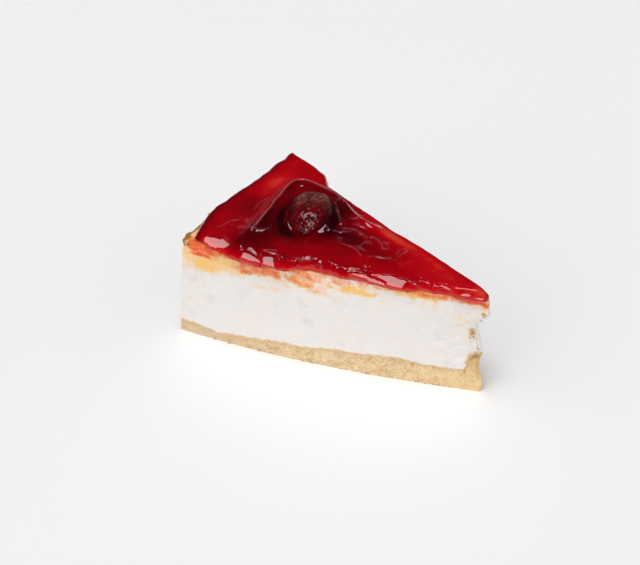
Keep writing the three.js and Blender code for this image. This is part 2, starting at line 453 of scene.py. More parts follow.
@dataclass(frozen=True)
class SetJelly:
    """Set strawberry jelly, wet and glossy: bright red where thin, near black-red where deep and where shade
    is painted, with pale pink painted highlights.
    """

    bare: str = "#c83a26"
    thin: str = "#bd0a14"
    even: str = "#a4000e"
    deep: str = "#80000a"
    # The two darkest colours also carry the painted shade in the crevice by the berry and along the far
    # edges.
    dark: str = "#580007"
    deepest_and_shaded: str = "#280004"
    # Colour of the painted highlights and sheen.
    painted_highlight: str = "#a85a62"
    cloud_mm: float = 6.0
    depth_shown_mm: float = 8.0

    def material(self) -> bpy.types.Material:
        """Builds the finish and returns it."""
        material, tree, shader, place = new_surface("set_strawberry_jelly")
        # The depth sets the colour, with painted shade and a painted sheen worked in.
        depth = add_node(tree, "Attribute", attribute_name="depth_and_shade_mm")
        cloud = add_node(tree, "TexNoise", {"Scale": scale_of(self.cloud_mm), "Detail": 6.0,
                                            "Roughness": 0.65}, {"Vector": place})
        uneven = add_node(tree, "MapRange", {"To Min": -1.4, "To Max": 1.4}, {"Value": cloud.outputs["Fac"]})
        total = add_node(tree, "Math", links={0: depth.outputs["Fac"], 1: uneven.outputs[0]},
                         operation="ADD")
        share = add_node(tree, "MapRange", {"From Max": self.depth_shown_mm}, {"Value": total.outputs[0]})
        ramp = add_node(tree, "ValToRGB", links={"Fac": share.outputs[0]},
                        stops=((0.05, self.bare), (0.2, self.thin), (0.36, self.even), (0.55, self.deep),
                               (0.75, self.dark), (1.0, self.deepest_and_shaded)))
        # Painted highlights and sheen: pale pink laid over the creases, streaks and the heap's crest.
        pale = add_node(tree, "Attribute", attribute_name="painted_highlight")
        mix = add_node(tree, "Mix", {"B": linear(self.painted_highlight)},
                       {"Factor": pale.outputs["Fac"], "A": ramp.outputs["Color"]}, data_type="RGBA")
        tree.links.new(mix.outputs["Result"], shader.inputs["Base Color"])
        shader.inputs["Roughness"].default_value = 0.04
        shader.inputs["IOR"].default_value = 1.42
        return material


@dataclass(frozen=True)
class CookedBerry:
    """Skin of a cooked strawberry: dark wine red under a glaze, dull brown and fibrous by the hull, with
    painted shade on its flanks.
    """

    wine: str = "#3f040a"
    red: str = "#76080f"
    # Flanks under a jelly coat, darkened further by painted shade.
    dark: str = "#2c0408"
    dull: str = "#5e2723"
    straw: str = "#b0786a"
    cloud_mm: float = 3.0
    fibre_mm: float = 0.45
    fibre_length: float = 5.0
    fibre_turn_deg: float = 55.0

    def material(self) -> bpy.types.Material:
        """Builds the finish and returns it."""
        material, tree, shader, place = new_surface("cooked_strawberry_skin")
        cloud = add_node(tree, "TexNoise", {"Scale": scale_of(self.cloud_mm), "Detail": 5.0},
                         {"Vector": place})
        flesh = add_node(tree, "ValToRGB", links={"Fac": cloud.outputs["Fac"]},
                         stops=((0.35, self.wine), (0.7, self.red)))
        # The fibres are drawn about twice as thick as real ones, so that they show.
        along = add_node(tree, "Mapping", {"Rotation": (0.0, 0.0, math.radians(self.fibre_turn_deg)),
                                           "Scale": (self.fibre_length, 1.0, 1.0)}, {"Vector": place},
                         vector_type="TEXTURE")
        fibre = add_node(tree, "TexNoise", {"Scale": scale_of(self.fibre_mm), "Detail": 5.0},
                         {"Vector": along.outputs[0]})
        fibres = add_node(tree, "ValToRGB", links={"Fac": fibre.outputs["Fac"]},
                          stops=((0.4, self.wine), (0.52, self.dull), (0.66, self.straw)))
        # Jelly coat and painted shade on the flanks.
        coat_and_shade = add_node(tree, "Attribute", attribute_name="coat_and_shade")
        under = add_node(tree, "Mix", {"B": linear(self.dark)},
                         {"Factor": coat_and_shade.outputs["Fac"], "A": flesh.outputs["Color"]}, data_type="RGBA")
        dry = add_node(tree, "Attribute", attribute_name="dry")
        mix = add_node(tree, "Mix", links={"Factor": dry.outputs["Fac"], "A": under.outputs["Result"],
                                           "B": fibres.outputs["Color"]}, data_type="RGBA")
        gloss = add_node(tree, "MapRange", {"To Min": 0.08, "To Max": 0.6}, {"Value": dry.outputs["Fac"]})
        bump = add_node(tree, "Bump", {"Strength": 0.4, "Distance": 0.3 * MM},
                        {"Height": fibre.outputs["Fac"]})
        tree.links.new(mix.outputs["Result"], shader.inputs["Base Color"])
        tree.links.new(gloss.outputs[0], shader.inputs["Roughness"])
        tree.links.new(bump.outputs["Normal"], shader.inputs["Normal"])
        shader.inputs["IOR"].default_value = 1.42
        return material


@dataclass(frozen=True)
class DryCrumb:
    """Toasted biscuit crumb that broke loose: brown, rough and dry."""

    pale: str = "#e4c48c"
    dark: str = "#b58a52"
    grit_mm: float = 0.5

    def material(self) -> bpy.types.Material:
        """Builds the finish and returns it."""
        material, tree, shader, place = new_surface("loose_biscuit_crumb")
        grit = add_node(tree, "TexNoise", {"Scale": scale_of(self.grit_mm), "Detail": 3.0},
                        {"Vector": place})
        ramp = add_node(tree, "ValToRGB", links={"Fac": grit.outputs["Fac"]},
                        stops=((0.35, self.dark), (0.65, self.pale)))
        tree.links.new(ramp.outputs["Color"], shader.inputs["Base Color"])
        shader.inputs["Roughness"].default_value = 0.95
        return material


def unit_block(name: str, cuts: tuple) -> bpy.types.Object:
    """Models a cube one unit wide whose faces are cut into a grid.

    Args:
        name: Name of the piece.
        cuts: For each axis, the factors whose product is the number of cells.

    Returns:
        The block, which lies from -0.5 to 0.5 on each axis.
    """
    deselect_all()
    bpy.ops.mesh.primitive_cube_add(size=1.0)
    block = bpy.context.object
    block.name = block.data.name = name
    bpy.ops.object.mode_set(mode="EDIT")
    bpy.ops.mesh.select_mode(type="EDGE")
    for axis, factors in zip(Along, cuts):
        for factor in factors:
            select_edges_along(block, axis)
            bpy.ops.mesh.subdivide(number_cuts=factor - 1, quadcorner="INNERVERT")
    bpy.ops.object.mode_set(mode="OBJECT")
    return block


def select_edges_along(block: bpy.types.Object, axis: Along) -> None:
    """Selects the edges of a block in edit mode that run along one axis, and no others."""
    mesh = bmesh.from_edit_mesh(block.data)
    for edge in mesh.edges:
        run = edge.verts[1].co - edge.verts[0].co
        edge.select_set(abs(run[axis.value]) > PARALLEL * run.length)
    mesh.select_flush_mode()
    bmesh.update_edit_mesh(block.data)


def points_of(piece: bpy.types.Object) -> np.ndarray:
    """Reads a mesh's points, one a row."""
    flat = np.empty(len(piece.data.vertices) * 3, np.float32)
    piece.data.vertices.foreach_get("co", flat)
    return flat.reshape(-1, 3).astype(float)


def move_points(piece: bpy.types.Object, points: np.ndarray) -> None:
    """Moves a mesh's points to new places given in mm."""
    piece.data.vertices.foreach_set("co", (points * MM).astype(np.float32).ravel())
    piece.data.update()


def normals_of(piece: bpy.types.Object) -> np.ndarray:
    """Reads the direction that a mesh faces at each point."""
    flat = np.empty(len(piece.data.vertices) * 3, np.float32)
    piece.data.vertex_normals.foreach_get("vector", flat)
    return flat.reshape(-1, 3).astype(float)


def paint(piece: bpy.types.Object, name: str, values: np.ndarray) -> None:
    """Stores one number for each point under a name that a material reads."""
    layer = piece.data.attributes.new(name, "FLOAT", "POINT")
    layer.data.foreach_set("value", values.astype(np.float32))


def finish_piece(piece: bpy.types.Object, finish: bpy.types.Material, node: str | None) -> None:
    """Dresses a piece and ties it to the frame.

    Args:
        piece: The finished mesh.
        finish: Its material.
        node: The solid that it stands for, if any.
    """
    piece.data.materials.clear()
    piece.data.materials.append(finish)
    piece.data.polygons.foreach_set("use_smooth", [True] * len(piece.data.polygons))
    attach(piece, BODY)
    if node:
        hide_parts(node)
    LOG.info("%s: %d faces", piece.name, len(piece.data.polygons))


def line_distance(place: np.ndarray, line: tuple) -> tuple:
    """Measures how far places in plan are from a bent line.

    Args:
        place: Places in plan, one a row.
        line: The line's points.

    Returns:
        Distance to the line, and the share of its length at the nearest point.
    """
    points = np.array(line, float)
    lengths = np.linalg.norm(np.diff(points, axis=0), axis=1)
    starts = np.concatenate([[0.0], np.cumsum(lengths)])
    best = np.full(len(place), np.inf)
    share = np.zeros(len(place))
    for index, length in enumerate(lengths):
        a = points[index]
        run = (points[index + 1] - a) / length
        offset = place - a
        along = np.clip(offset @ run, 0.0, length)
        gap = offset - along[:, None] * run
        distance = np.linalg.norm(gap, axis=1)
        nearer = distance < best
        best[nearer] = distance[nearer]
        share[nearer] = (starts[index] + along[nearer]) / starts[-1]
    return best, share


@dataclass(frozen=True)
class Crease:
    """A fold in the jelly: its line as (distance from the tip, y) pairs, its height, width and painted
    highlight.
    """

    line: tuple
    height: float
    width: float
    # How strong the highlight painted along the fold is.
    pale: float = 0.45
    fade_power: float = 0.6

    def share(self, d: np.ndarray, y: np.ndarray, width: float) -> np.ndarray:
        """Gives how much of its height places in plan have.

        Args:
            d: Distance from the tip.
            y: Place across, from the slice's axis.
            width: Width to use for it, in mm.

        Returns:
            A share from 0 to 1 on its line, which fades towards its ends.
        """
        distance, share = line_distance(np.column_stack([d, y]), self.line)
        fade = np.sin(np.clip(share, 0.0, 1.0) * math.pi) ** self.fade_power
        return fade * np.exp(-(distance / width) ** 2)


@dataclass(frozen=True)
class Stain:
    """A patch of colour on the filling's front: its middle, half sizes and strength."""

    from_tip: float
    below_top: float
    half_length: float
    half_depth: float
    strength: float = 1.0
    fade: Ease = Ease(1.7, 0.4)

    def over(self, colour: np.ndarray, d: np.ndarray, below: np.ndarray) -> np.ndarray:
        """Lays the patch over what is there.

        Args:
            colour: Strength of the colour so far.
            d: Distance from the tip.
            below: Depth under the top.

        Returns:
            The stronger of the two at each point.
        """
        reach = np.hypot((d - self.from_tip) / self.half_length, (below - self.below_top) / self.half_depth)
        return np.maximum(colour, self.strength * self.fade.at(reach))


@dataclass
class BiscuitBase:
    """The pressed crumb layer under the slice."""

    cuts: tuple = ((75, 4), (40,), (22,))
    crumb: tuple = (Grain(11, 0.28, 3.2), Grain(12, 0.24, 1.3), Grain(13, 0.12, 0.7))
    crumb_upward: float = 0.25
    crumb_held_up_to: float = 0.8
    crumb_at_foot: float = 0.75
    stands_back: float = 0.35
    into_filling: float = 0.3
    foot: float = 1.5
    foot_height: float = 11.0
    foot_reach: float = 6.0
    # Painted bounce light: where the base greys towards the rim.
    rim_bounce_grey_part: Ease = Ease(60.0, 110.0)
    buttery_part: Ease = Ease(40.0, 0.0)
    lump_along: Ease = Ease(5.1, 2.6)
    lump_up: Ease = Ease(5.0, 10.0)
    lump_grain: Grain = Grain(14, 0.8, 1.6)
    least_gold: float = 0.7
    finish: PressedBiscuit = field(default_factory=PressedBiscuit)

    def build(self) -> bpy.types.Object:
        """Builds the base and returns it."""
        piece = unit_block("crumb_base", self.cuts)
        share = points_of(piece) + 0.5
        s = 1.0 - share[:, 0]
        t = 2.0 * share[:, 1] - 1.0
        z = (PLAN.base_top(s) + self.into_filling) * share[:, 2]
        d, x, y = PLAN.place(s, t, z, Inset(rim=-PLAN.base_proud))
        x = x + self.foot * np.exp(-d / self.foot_reach) * np.clip(1.0 - z / self.foot_height, 0.0, 1.0)
        move_points(piece, np.column_stack([x, y, z]))
        self.roughen(piece, share[:, 2] > 1.0 - AT_END)
        # Painted bounce light, greying the base towards the rim.
        paint(piece, "dull", self.rim_bounce_grey_part.at(d))
        paint(piece, "buttery", self.buttery_part.at(d))
        gold = np.clip(self.least_gold + self.lump_grain.at(np.column_stack([x, y, z])), 0.0, 1.0)
        paint(piece, "golden", self.lump_along.at(d) * self.lump_up.at(z) * gold)
        finish_piece(piece, self.finish.material(), "biscuit_base")
        return piece

    def roughen(self, piece: bpy.types.Object, top: np.ndarray) -> None:
        """Gives the broken faces their crumb, and leaves the underside and the top as they are.

        Args:
            piece: The base.
            top: Which points lie under the filling.
        """
        points = points_of(piece) / MM
        sideways = normals_of(piece) * np.array([1.0, 1.0, self.crumb_upward])
        sideways[top] *= ONLY_ACROSS
        held = self.crumb_at_foot + (1.0 - self.crumb_at_foot) * smooth(points[:, 2] / self.crumb_held_up_to)
        moved = points + sideways * ((rough(self.crumb, points) - self.stands_back) * held)[:, None]
        moved[:, 2] = np.where(points[:, 2] < LEAST_MM, 0.0, np.maximum(moved[:, 2], OFF_FLOOR_MM))
        move_points(piece, moved)


@dataclass
class CheeseFilling:
    """The baked filling: its cut faces, crusted top edge and ragged tip."""

    cuts: tuple = ((65, 4), (70,), (88,))
    finish: BakedCheese = field(default_factory=BakedCheese)
    gold_patches: tuple = (
        Stain(112.0, 4.0, 8.0, 9.0, 0.72), Stain(104.0, 8.0, 8.0, 4.5, 0.95),
        Stain(94.0, 7.5, 8.0, 3.6, 0.7), Stain(74.0, 6.0, 9.0, 4.5, 0.5), Stain(62.0, 5.0, 9.0, 4.0, 0.5),
        Stain(58.0, 9.5, 7.0, 1.6, 0.45), Stain(80.0, 12.0, 9.0, 1.2, 0.5),
        Stain(45.0, 5.4, 8.0, 1.8, 0.95), Stain(24.0, 2.0, 13.0, 2.2, 1.0), Stain(3.0, 2.5, 5.0, 3.0, 0.6),
        Stain(36.0, 5.0, 8.0, 1.0, 0.35), Stain(113.0, 20.0, 9.0, 13.0, 0.26),
        Stain(5.0, 15.0, 7.0, 13.0, 0.3), Stain(66.0, 5.5, 7.0, 3.5, 0.75),
        Stain(98.0, 4.5, 11.0, 3.5, 0.9), Stain(56.0, 4.5, 6.0, 2.6, 0.65),
        Stain(43.0, 4.2, 6.0, 2.4, 0.65), Stain(20.0, 6.5, 14.0, 2.5, 0.3),
        Stain(40.0, 8.5, 10.0, 2.5, 0.25),
    )
    red_patches: tuple = (
        Stain(105.0, 4.2, 5.0, 1.3, 0.95), Stain(99.0, 1.8, 8.0, 1.7, 0.95),
        Stain(87.0, 5.0, 6.0, 3.0, 0.8), Stain(78.0, 4.5, 6.0, 2.8, 0.7), Stain(66.0, 5.0, 8.0, 3.0, 0.75),
        Stain(57.0, 4.0, 7.0, 2.4, 0.5), Stain(51.0, 2.5, 4.0, 2.2, 0.75), Stain(38.0, 1.6, 10.0, 1.4, 0.5),
        Stain(24.0, 1.2, 11.0, 1.5, 0.7), Stain(6.0, 2.0, 7.0, 1.6, 0.9), Stain(60.0, 8.0, 5.0, 1.6, 0.4),
    )
    jelly_stain: tuple = ((0, 0.5), (10, 0.8), (30, 0.55), (45, 0.35), (60, 0.6), (75, 0.8), (92, 1.05),
                          (108, 1.05), (114, 0.4))
    tip_swell: float = 1.4
    tip_swell_up: Hump = Hump(35.5, 3.0)
    tip_limit: float = 1.9
    knife_drag: tuple = (Grain(21, 0.22, 11.0), Grain(22, 0.1, 1.4, (9.0, 1.0, 1.0)), Grain(23, 0.05, 0.8))
    tip_crags: tuple = (Grain(24, 0.9, 3.4, (2.0, 1.0, 0.8)), Grain(25, 0.5, 1.5))
    tip_crags_reach: float = 12.0
    under_lip: float = 0.9
    under_lip_up: Ease = Ease(39.0, 43.0)
    crust_crags: tuple = (Grain(26, 0.45, 2.6), Grain(27, 0.25, 1.1))
    crust_up: Ease = Ease(37.8, 42.8)
    crust_along: Ease = Ease(40.0, 100.0)
    rim_more: float = 0.8
    rim_along: Ease = Ease(106.0, 111.0)
    stands_back: float = 0.15
    thin_half: float = 3.0
    skin: Ease = Ease(2.4, 0.0)
    skin_gold: float = 0.7
    skin_red: float = 0.5
    rim_gold_along: Ease = Ease(110.0, 116.0)
    rim_gold_down: Ease = Ease(16.0, 0.0)
    band_down: Ease = Ease(4.6, 2.0)
    stain_edge: tuple = (Grain(31, 0.9, 4.0), Grain(32, 0.5, 1.6))
    stain_even: float = 0.9
    stain_cloud: Grain = Grain(36, 0.4, 4.0, (1.6, 1.0, 0.7))
    gold_round_red: float = 1.15
    speck: Grain = Grain(35, 1.0, 1.7)
    speck_share: Ease = Ease(0.3, 0.7)
    speck_along: Ease = Ease(55.0, 95.0)
    toast_along: Ease = Ease(108.0, 112.0)
    toast_down: Ease = Ease(5.0, 0.0)
    toast_on_rim: float = 0.9
    toast_on_gold: float = 0.35
    toast_less: float = 0.55
    toast_specks: float = 1.1
    toast_burnt: float = 0.8
    toast_even: float = 0.55
    toast_cloud: Grain = Grain(37, 0.6, 2.6)
    ragged: Grain = Grain(38, 3.2, 1.7)
    ragged_shift: float = -0.6
    ragged_reach: float = 8.0
    crumb_edge: tuple = (Grain(33, 0.3, 2.2), Grain(34, 0.3, 0.9))
    crumb_up: float = 1.5

    def build(self) -> bpy.types.Object:
        """Builds the filling and returns it."""
        piece = unit_block("baked_filling", self.cuts)
        share = points_of(piece) + 0.5
        s = 1.0 - share[:, 0]
        t = 2.0 * share[:, 1] - 1.0
        z = PLAN.base_top(s) + (PLAN.baked_top(s, t) - PLAN.base_top(s)) * share[:, 2]
        d, x, y = PLAN.place(s, t, z, Inset())
        x = x + self.tip_swell * self.tip_swell_up.at(z) * np.exp(-d / PLAN.tip_reach)
        move_points(piece, np.column_stack([x, y, z]))
        self.weather(piece, d, share[:, 2] < AT_END)
        self.stain(piece, d)
        finish_piece(piece, self.finish.material(), "cheese_filling")
        return piece

    def weather(self, piece: bpy.types.Object, d: np.ndarray, under: np.ndarray) -> None:
        """Gives the faces the drag of the knife, and the crust and tip their crags.

        Args:
            piece: The filling.
            d: Each point's distance from the tip.
            under: Which points lie on the biscuit base.
        """
        points = points_of(piece) / MM
        z = points[:, 2]
        tip = np.exp(-d / self.tip_crags_reach)
        crust = self.crust_up.at(z) * self.crust_along.at(d) * (1.0 + self.rim_more * self.rim_along.at(d))
        relief = rough(self.knife_drag, points) + tip * rough(self.tip_crags, points)
        relief += crust * rough(self.crust_crags, points) - self.under_lip * tip * self.under_lip_up.at(z)
        half = (PLAN.back_edge(d, z) - PLAN.front_edge(d)) / 2.0
        moves = normals_of(piece) * (relief - self.stands_back)[:, None]
        moves[:, 1] *= np.clip(half / self.thin_half, 0.0, 1.0)
        moves[under] *= ONLY_ACROSS
        moved = points + moves
        moved[:, 0] = np.minimum(moved[:, 0], PLAN.tip_x + self.tip_limit)
        move_points(piece, moved)

    def stain(self, piece: bpy.types.Object, d: np.ndarray) -> None:
        """Paints where the top browned, where jelly ran and where crumb of the base clings.

        Args:
            piece: The filling.
            d: Each point's distance from the tip.
        """
        points = points_of(piece) / MM
        below = PLAN.filling_top - points[:, 2] + rough(self.stain_edge, points)
        skin = self.skin.at(below)
        rim = self.rim_gold_along.at(d) * self.rim_gold_down.at(below)
        gold = np.maximum(self.skin_gold * skin, rim)
        for patch in self.gold_patches:
            gold = patch.over(gold, d, below)
        red = np.maximum(self.skin_red * skin, profile(self.jelly_stain, d) * self.band_down.at(below))
        for patch in self.red_patches:
            red = patch.over(red, d, below)
        red *= self.stain_even + self.stain_cloud.at(points)
        gold = np.maximum(gold, self.gold_round_red * red)
        specks = self.speck_share.at(self.speck.at(points)) * self.speck_along.at(d)
        toast = self.toast_on_rim * rim + self.toast_on_gold * gold - self.toast_less
        toast += self.toast_specks * specks * np.maximum(skin, self.skin_gold * gold)
        burnt = self.toast_along.at(d) * self.toast_down.at(below)
        toast += self.toast_burnt * burnt * (self.toast_even + self.toast_cloud.at(points))
        ragged = d + self.ragged_shift + self.ragged.at(points) * np.exp(-d / self.ragged_reach)
        above = points[:, 2] - PLAN.base_top((ragged - PLAN.tip_start) / (PLAN.cake_radius - PLAN.tip_start))
        clinging = 1.0 - (above + rough(self.crumb_edge, points)) / self.crumb_up
        for name, share in (("browned", gold), ("toasted", toast), ("stained", red), ("crumbed", clinging)):
            paint(piece, name, np.clip(share, 0.0, 1.0))


@dataclass(frozen=True)
class Tint:
    """A place in plan where the jelly's colour is made deeper, thinner or paler, for its depth, painted
    shade and painted sheen: its middle, half sizes and change.
    """

    from_tip: float
    y: float
    half_length: float
    half_width: float
    change: float

    def at(self, d: np.ndarray, y: np.ndarray) -> np.ndarray:
        """Gives its change at places in plan."""
        span = ((d - self.from_tip) / self.half_length) ** 2 + ((y - self.y) / self.half_width) ** 2
        return self.change * np.exp(-span)


@dataclass(frozen=True)
class Bubble:
    """A small round swelling in the jelly's skin: its place in plan, radius and height in mm."""

    from_tip: float
    y: float
    radius: float = 0.55
    height: float = 0.3

    def at(self, d: np.ndarray, y: np.ndarray) -> np.ndarray:
        """Gives its height at places in plan."""
        return self.height * np.exp(-(np.hypot(d - self.from_tip, y - self.y) / self.radius) ** 2)


@dataclass(frozen=True)
class Facet:
    """A flat slanting place in the jelly's lip: its middle in plan, its height there and its corners."""

    middle: tuple
    height: float
    corners: tuple

    def inside(self, d: np.ndarray, y: np.ndarray) -> np.ndarray:
        """Gives how far places in plan lie inside its outline."""
        corners = np.array(self.corners)
        inside = np.full(len(d), np.inf)
        for start, end in zip(corners, np.roll(corners, -1, axis=0)):
            run = (end - start) / np.linalg.norm(end - start)
            side = run[1] * (d - start[0]) - run[0] * (y - start[1])
            middle = run[1] * (self.middle[0] - start[0]) - run[0] * (self.middle[1] - start[1])
            inside = np.minimum(inside, side * np.sign(middle))
        return inside

    def plane(self, d: np.ndarray, y: np.ndarray, rise: tuple) -> np.ndarray:
        """Gives its height over the filling's top for its rise a millimetre along and across."""
        return self.height + rise[0] * (d - self.middle[0]) + rise[1] * (y - self.middle[1])


def in_plan(d: np.ndarray, y: np.ndarray) -> np.ndarray:
    """Gives places in plan as points that lie flat."""
    return np.column_stack([d, y, np.zeros_like(d)])


@dataclass
class JellyTop:
    """The strawberry jelly: a wet layer with a rounded lip, heaped round the berry."""

    cuts: tuple = ((76, 5), (55, 4), (2,))
    crowding_along: float = 0.5
    crowding_across: float = 0.75
    thickness: float = 3.0
    edge_height: float = 0.3
    sunk: float = 0.5
    sunk_from_edge: Ease = Ease(0.0, 1.5)
    under_gap: float = 0.05
    least_thickness: float = 0.1
    back_inset: float = 0.5
    back_ripple: float = 0.5
    rim_inset: float = 1.6
    tip_inset: float = 0.4
    corner_inset: float = 2.2
    corner_across: Ease = Ease(-0.5, -1.0)
    edge_ripple: tuple = (Grain(41, 0.45, 2.6), Grain(48, 0.35, 1.2))
    rim_ripple: tuple = (Grain(42, 0.45, 6.0), Grain(43, 0.2, 2.5))
    lip_ripple: Grain = Grain(44, 0.25, 6.0)
    overhang_grows: Ease = Ease(0.0, -1.5)
    droop: float = 0.78
    droop_near_edge: Ease = Ease(2.5, 0.0)
    front_square: float = 0.92
    back_square: float = 0.95
    tip_square: float = 0.4
    far_power: float = 0.5
    tip_power: float = 0.8
    overhang: tuple = ((0, 1.0), (62, 1.0), (72, 2.2), (92, 2.4), (100, 1.5), (106, 0.8), (112, 0.4))
    back_lip: tuple = ((0, 1.2), (45, 1.5), (70, 3.2), (100, 3.2), (112, 1.8))
    rim_lip: float = 3.0
    rim_thinning: float = 1.3
    thin_along: Ease = Ease(97.0, 109.0)
    thin_across: Ease = Ease(18.0, 4.0)
    tip_lip: float = 5.0
    front_lip: tuple = ((0, 2.4), (20, 3.0), (45, 3.0), (62, 2.6), (74, 4.0), (88, 5.0), (92, 4.2),
                        (98, 7.0), (112, 7.0))
    front_slope: tuple = ((0, 0.6), (20, 0.65), (40, 0.75), (60, 0.55), (78, 0.8), (91, 0.6), (97, 0.9),
                          (112, 0.85))
    front_wander: tuple = ((0, -0.6), (1, -1.1), (5, -2.6), (9.5, -2.4), (12.3, -0.5), (15, -0.5),
                           (18, -1.1), (22, -0.1), (25, -1.3), (27, -2.3), (31.7, -2.4), (35.4, -2.1),
                           (39.5, -1.3), (43.4, -0.8), (47.7, -0.4), (52, -1.0), (58, 0.3), (62, 0.0),
                           (65.4, 1.0), (68, 0.0), (70.3, -1.7), (73.5, -3.8), (76, -4.0), (79, -2.6),
                           (81.7, -4.8), (85.3, -4.6), (90, -4.6), (95.4, -3.8), (98.5, -2.4),
                           (101.5, -1.3), (104.5, -1.2), (107.3, -0.2), (109.2, 1.6), (118, 3.0))
    mound_height: float = 4.2
    mound_back_near: float = 12.5
    mound_back_far: float = 19.5
    mound_back_along: Ease = Ease(60.0, 84.0)
    mound_rim_edge: tuple = ((-20, 96.2), (-8, 96.6), (0, 98.0), (6, 99.0), (12, 99.4))
    mound_edge_width: float = 4.5
    mound_fade_to_tip: float = 34.0
    mound_fade_to_front: float = 30.0
    mound_corner: float = 9.0
    mound_full_tip: float = 5.0
    mound_full_front: float = 1.2
    ridge_height: float = 0.9
    ridge_inside: Hump = Hump(3.9, 0.8)
    ridge_along: Ease = Ease(62.0, 76.0)
    ridge_across: Ease = Ease(-23.0, -16.0)
    dip: float = 1.5
    dip_inside: Ease = Ease(4.2, 6.5)
    swell: tuple = (Grain(45, 0.3, 12.0), Grain(46, 0.16, 5.0))
    front_swell: tuple = (Grain(47, 0.15, 3.2, (1.8, 1.0, 1.0)), Grain(49, 0.05, 1.5))
    near_front: Ease = Ease(10.0, 1.0)
    # Painted highlight lines along the heap's crest, with their wander, reach and fade below.
    crest_highlights: tuple = ((Hump(4.1, 0.28), 0.95), (Hump(-0.3, 0.25), 0.3), (Hump(-1.3, 0.25), 0.22))
    crest_wander: Grain = Grain(55, 0.25, 5.0)
    crest_along: Ease = Ease(76.0, 82.0)
    crest_across: Ease = Ease(-22.0, -15.0)
    crest_fade: Ease = Ease(0.0, 0.625)
    # Width and breaking of the highlight painted along the creases.
    highlight_width: float = 0.36
    highlight_even: float = 0.55
    highlight_cloud: Grain = Grain(50, 0.75, 1.4)
    # Breaking of the painted sheen, and the wandering painted highlight streaks.
    sheen_even: float = 0.8
    sheen_cloud: Grain = Grain(54, 0.5, 2.0)
    streak_bends: tuple = (Grain(56, 1.0, 6.0, (1.7, 1.0, 1.0)), Grain(57, 0.35, 2.2))
    streak_line: Hump = Hump(0.0, 0.07)
    streak_breaks: Grain = Grain(58, 1.0, 2.6)
    streak_share: Ease = Ease(-0.15, 0.35)
    facet_rise: tuple = (0.303, 0.515)
    facet_edge: float = 0.5
    facet_ragged: Grain = Grain(59, 0.35, 1.1, (1.8, 1.0, 1.0))
    berry_flank: Ease = Ease(0.75, 0.0)
    berry_flank_shift: float = 0.05
    berry_climb: float = 1.3
    berry_climb_at: Hump = Hump(0.9, 0.12)
    crevice: float = 1.3
    crevice_at: Hump = Hump(1.14, 0.13)
    point_dip: float = 1.4
    point_along: Ease = Ease(-0.35, -0.85)
    point_reach: Ease = Ease(1.75, 1.05)
    seat_dip: float = 1.5
    seat_reach: Ease = Ease(0.8, 0.6)
    shown_thickness: float = 3.7
    shown_mound: float = 0.35
    behind_thinner: float = 0.9
    behind_inside: Ease = Ease(0.5, 3.5)
    behind_along: Ease = Ease(80.0, 88.0)
    back_thin_and_sheen: float = 1.3
    # Thinner jelly and a painted sheen along the back cut.
    back_band: Hump = Hump(3.8, 2.5)
    back_band_ends: tuple = (Ease(70.0, 62.0), Ease(12.0, 26.0))
    # Painted shade in the crevice beside the berry.
    crevice_shade: float = 2.8
    crevice_shown: Hump = Hump(1.12, 0.18)
    crevice_along: Ease = Ease(1.32, 0.12)
    lip_shown: float = 1.0
    lip_colour: float = 1.2
    # Painted shade: a thin dark line along the back cut and the rim.
    far_edge_shade_depth: float = 7.0
    back_shade_line: Hump = Hump(0.0, 0.8)
    rim_shade_line: Hump = Hump(0.0, 3.2)
    rim_shade_share: float = 0.7
    finish: SetJelly = field(default_factory=SetJelly)
    facets: tuple = (
        Facet((101.2, -31.5), 1.9, ((107.9, -35.2), (105.3, -31.0), (98.6, -28.4), (93.6, -28.6),
                                    (96.6, -31.6), (104.0, -35.0))),
        Facet((85.1, -30.4), 1.2, ((88.2, -30.0), (85.8, -29.4), (82.0, -29.2), (79.8, -29.4),
                                   (84.6, -32.1), (89.0, -33.4))),
        Facet((85.2, -28.7), 2.7, ((87.8, -28.3), (86.8, -27.6), (82.9, -28.3), (82.3, -29.0),
                                   (85.6, -29.0))),
        Facet((77.4, -25.4), 2.6, ((81.6, -27.5), (81.0, -26.0), (77.6, -24.2), (73.2, -24.3),
                                   (73.2, -25.5), (77.5, -26.1))),
        Facet((78.6, -27.9), 1.3, ((81.4, -28.2), (77.1, -25.5), (74.5, -28.6), (78.9, -31.2))),
        Facet((72.9, -25.5), 1.3, ((75.0, -25.8), (73.4, -24.8), (70.7, -24.7), (73.4, -26.7))),
        Facet((33.0, -13.0), 1.7, ((39.5, -14.7), (34.8, -11.7), (27.7, -9.6), (28.3, -14.3),
                                   (32.8, -15.6))),
        Facet((40.2, -16.2), 1.6, ((48.4, -18.8), (43.7, -16.4), (34.8, -14.3), (33.1, -15.4),
                                   (39.8, -17.9))),
        Facet((44.4, -15.4), 2.4, ((48.8, -16.8), (47.6, -16.1), (40.3, -14.1), (40.8, -14.8))),
        Facet((43.7, -12.5), 2.8, ((45.2, -12.8), (42.4, -11.7), (42.5, -12.3), (44.5, -13.2))),
        Facet((23.6, -7.0), 2.5, ((24.2, -6.6), (22.5, -6.4), (22.7, -7.1), (24.4, -7.5))),
        Facet((14.6, -5.3), 2.1, ((17.1, -6.3), (16.1, -5.0), (12.2, -4.2), (12.4, -5.3))),
        Facet((7.6, -5.2), 0.9, ((10.6, -6.7), (8.7, -4.2), (5.6, -2.9), (5.1, -6.0), (8.5, -8.2))),
        Facet((3.8, -2.9), 0.7, ((5.8, -3.9), (2.2, -1.3), (1.6, -1.7), (4.8, -4.8))),
        Facet((24.9, -9.8), 1.8, ((26.9, -9.4), (23.8, -8.8), (23.4, -10.0), (25.3, -10.5))),
        Facet((20.2, -9.5), 0.9, ((22.9, -10.1), (19.5, -8.6), (18.0, -9.5), (20.3, -11.0))),
    )
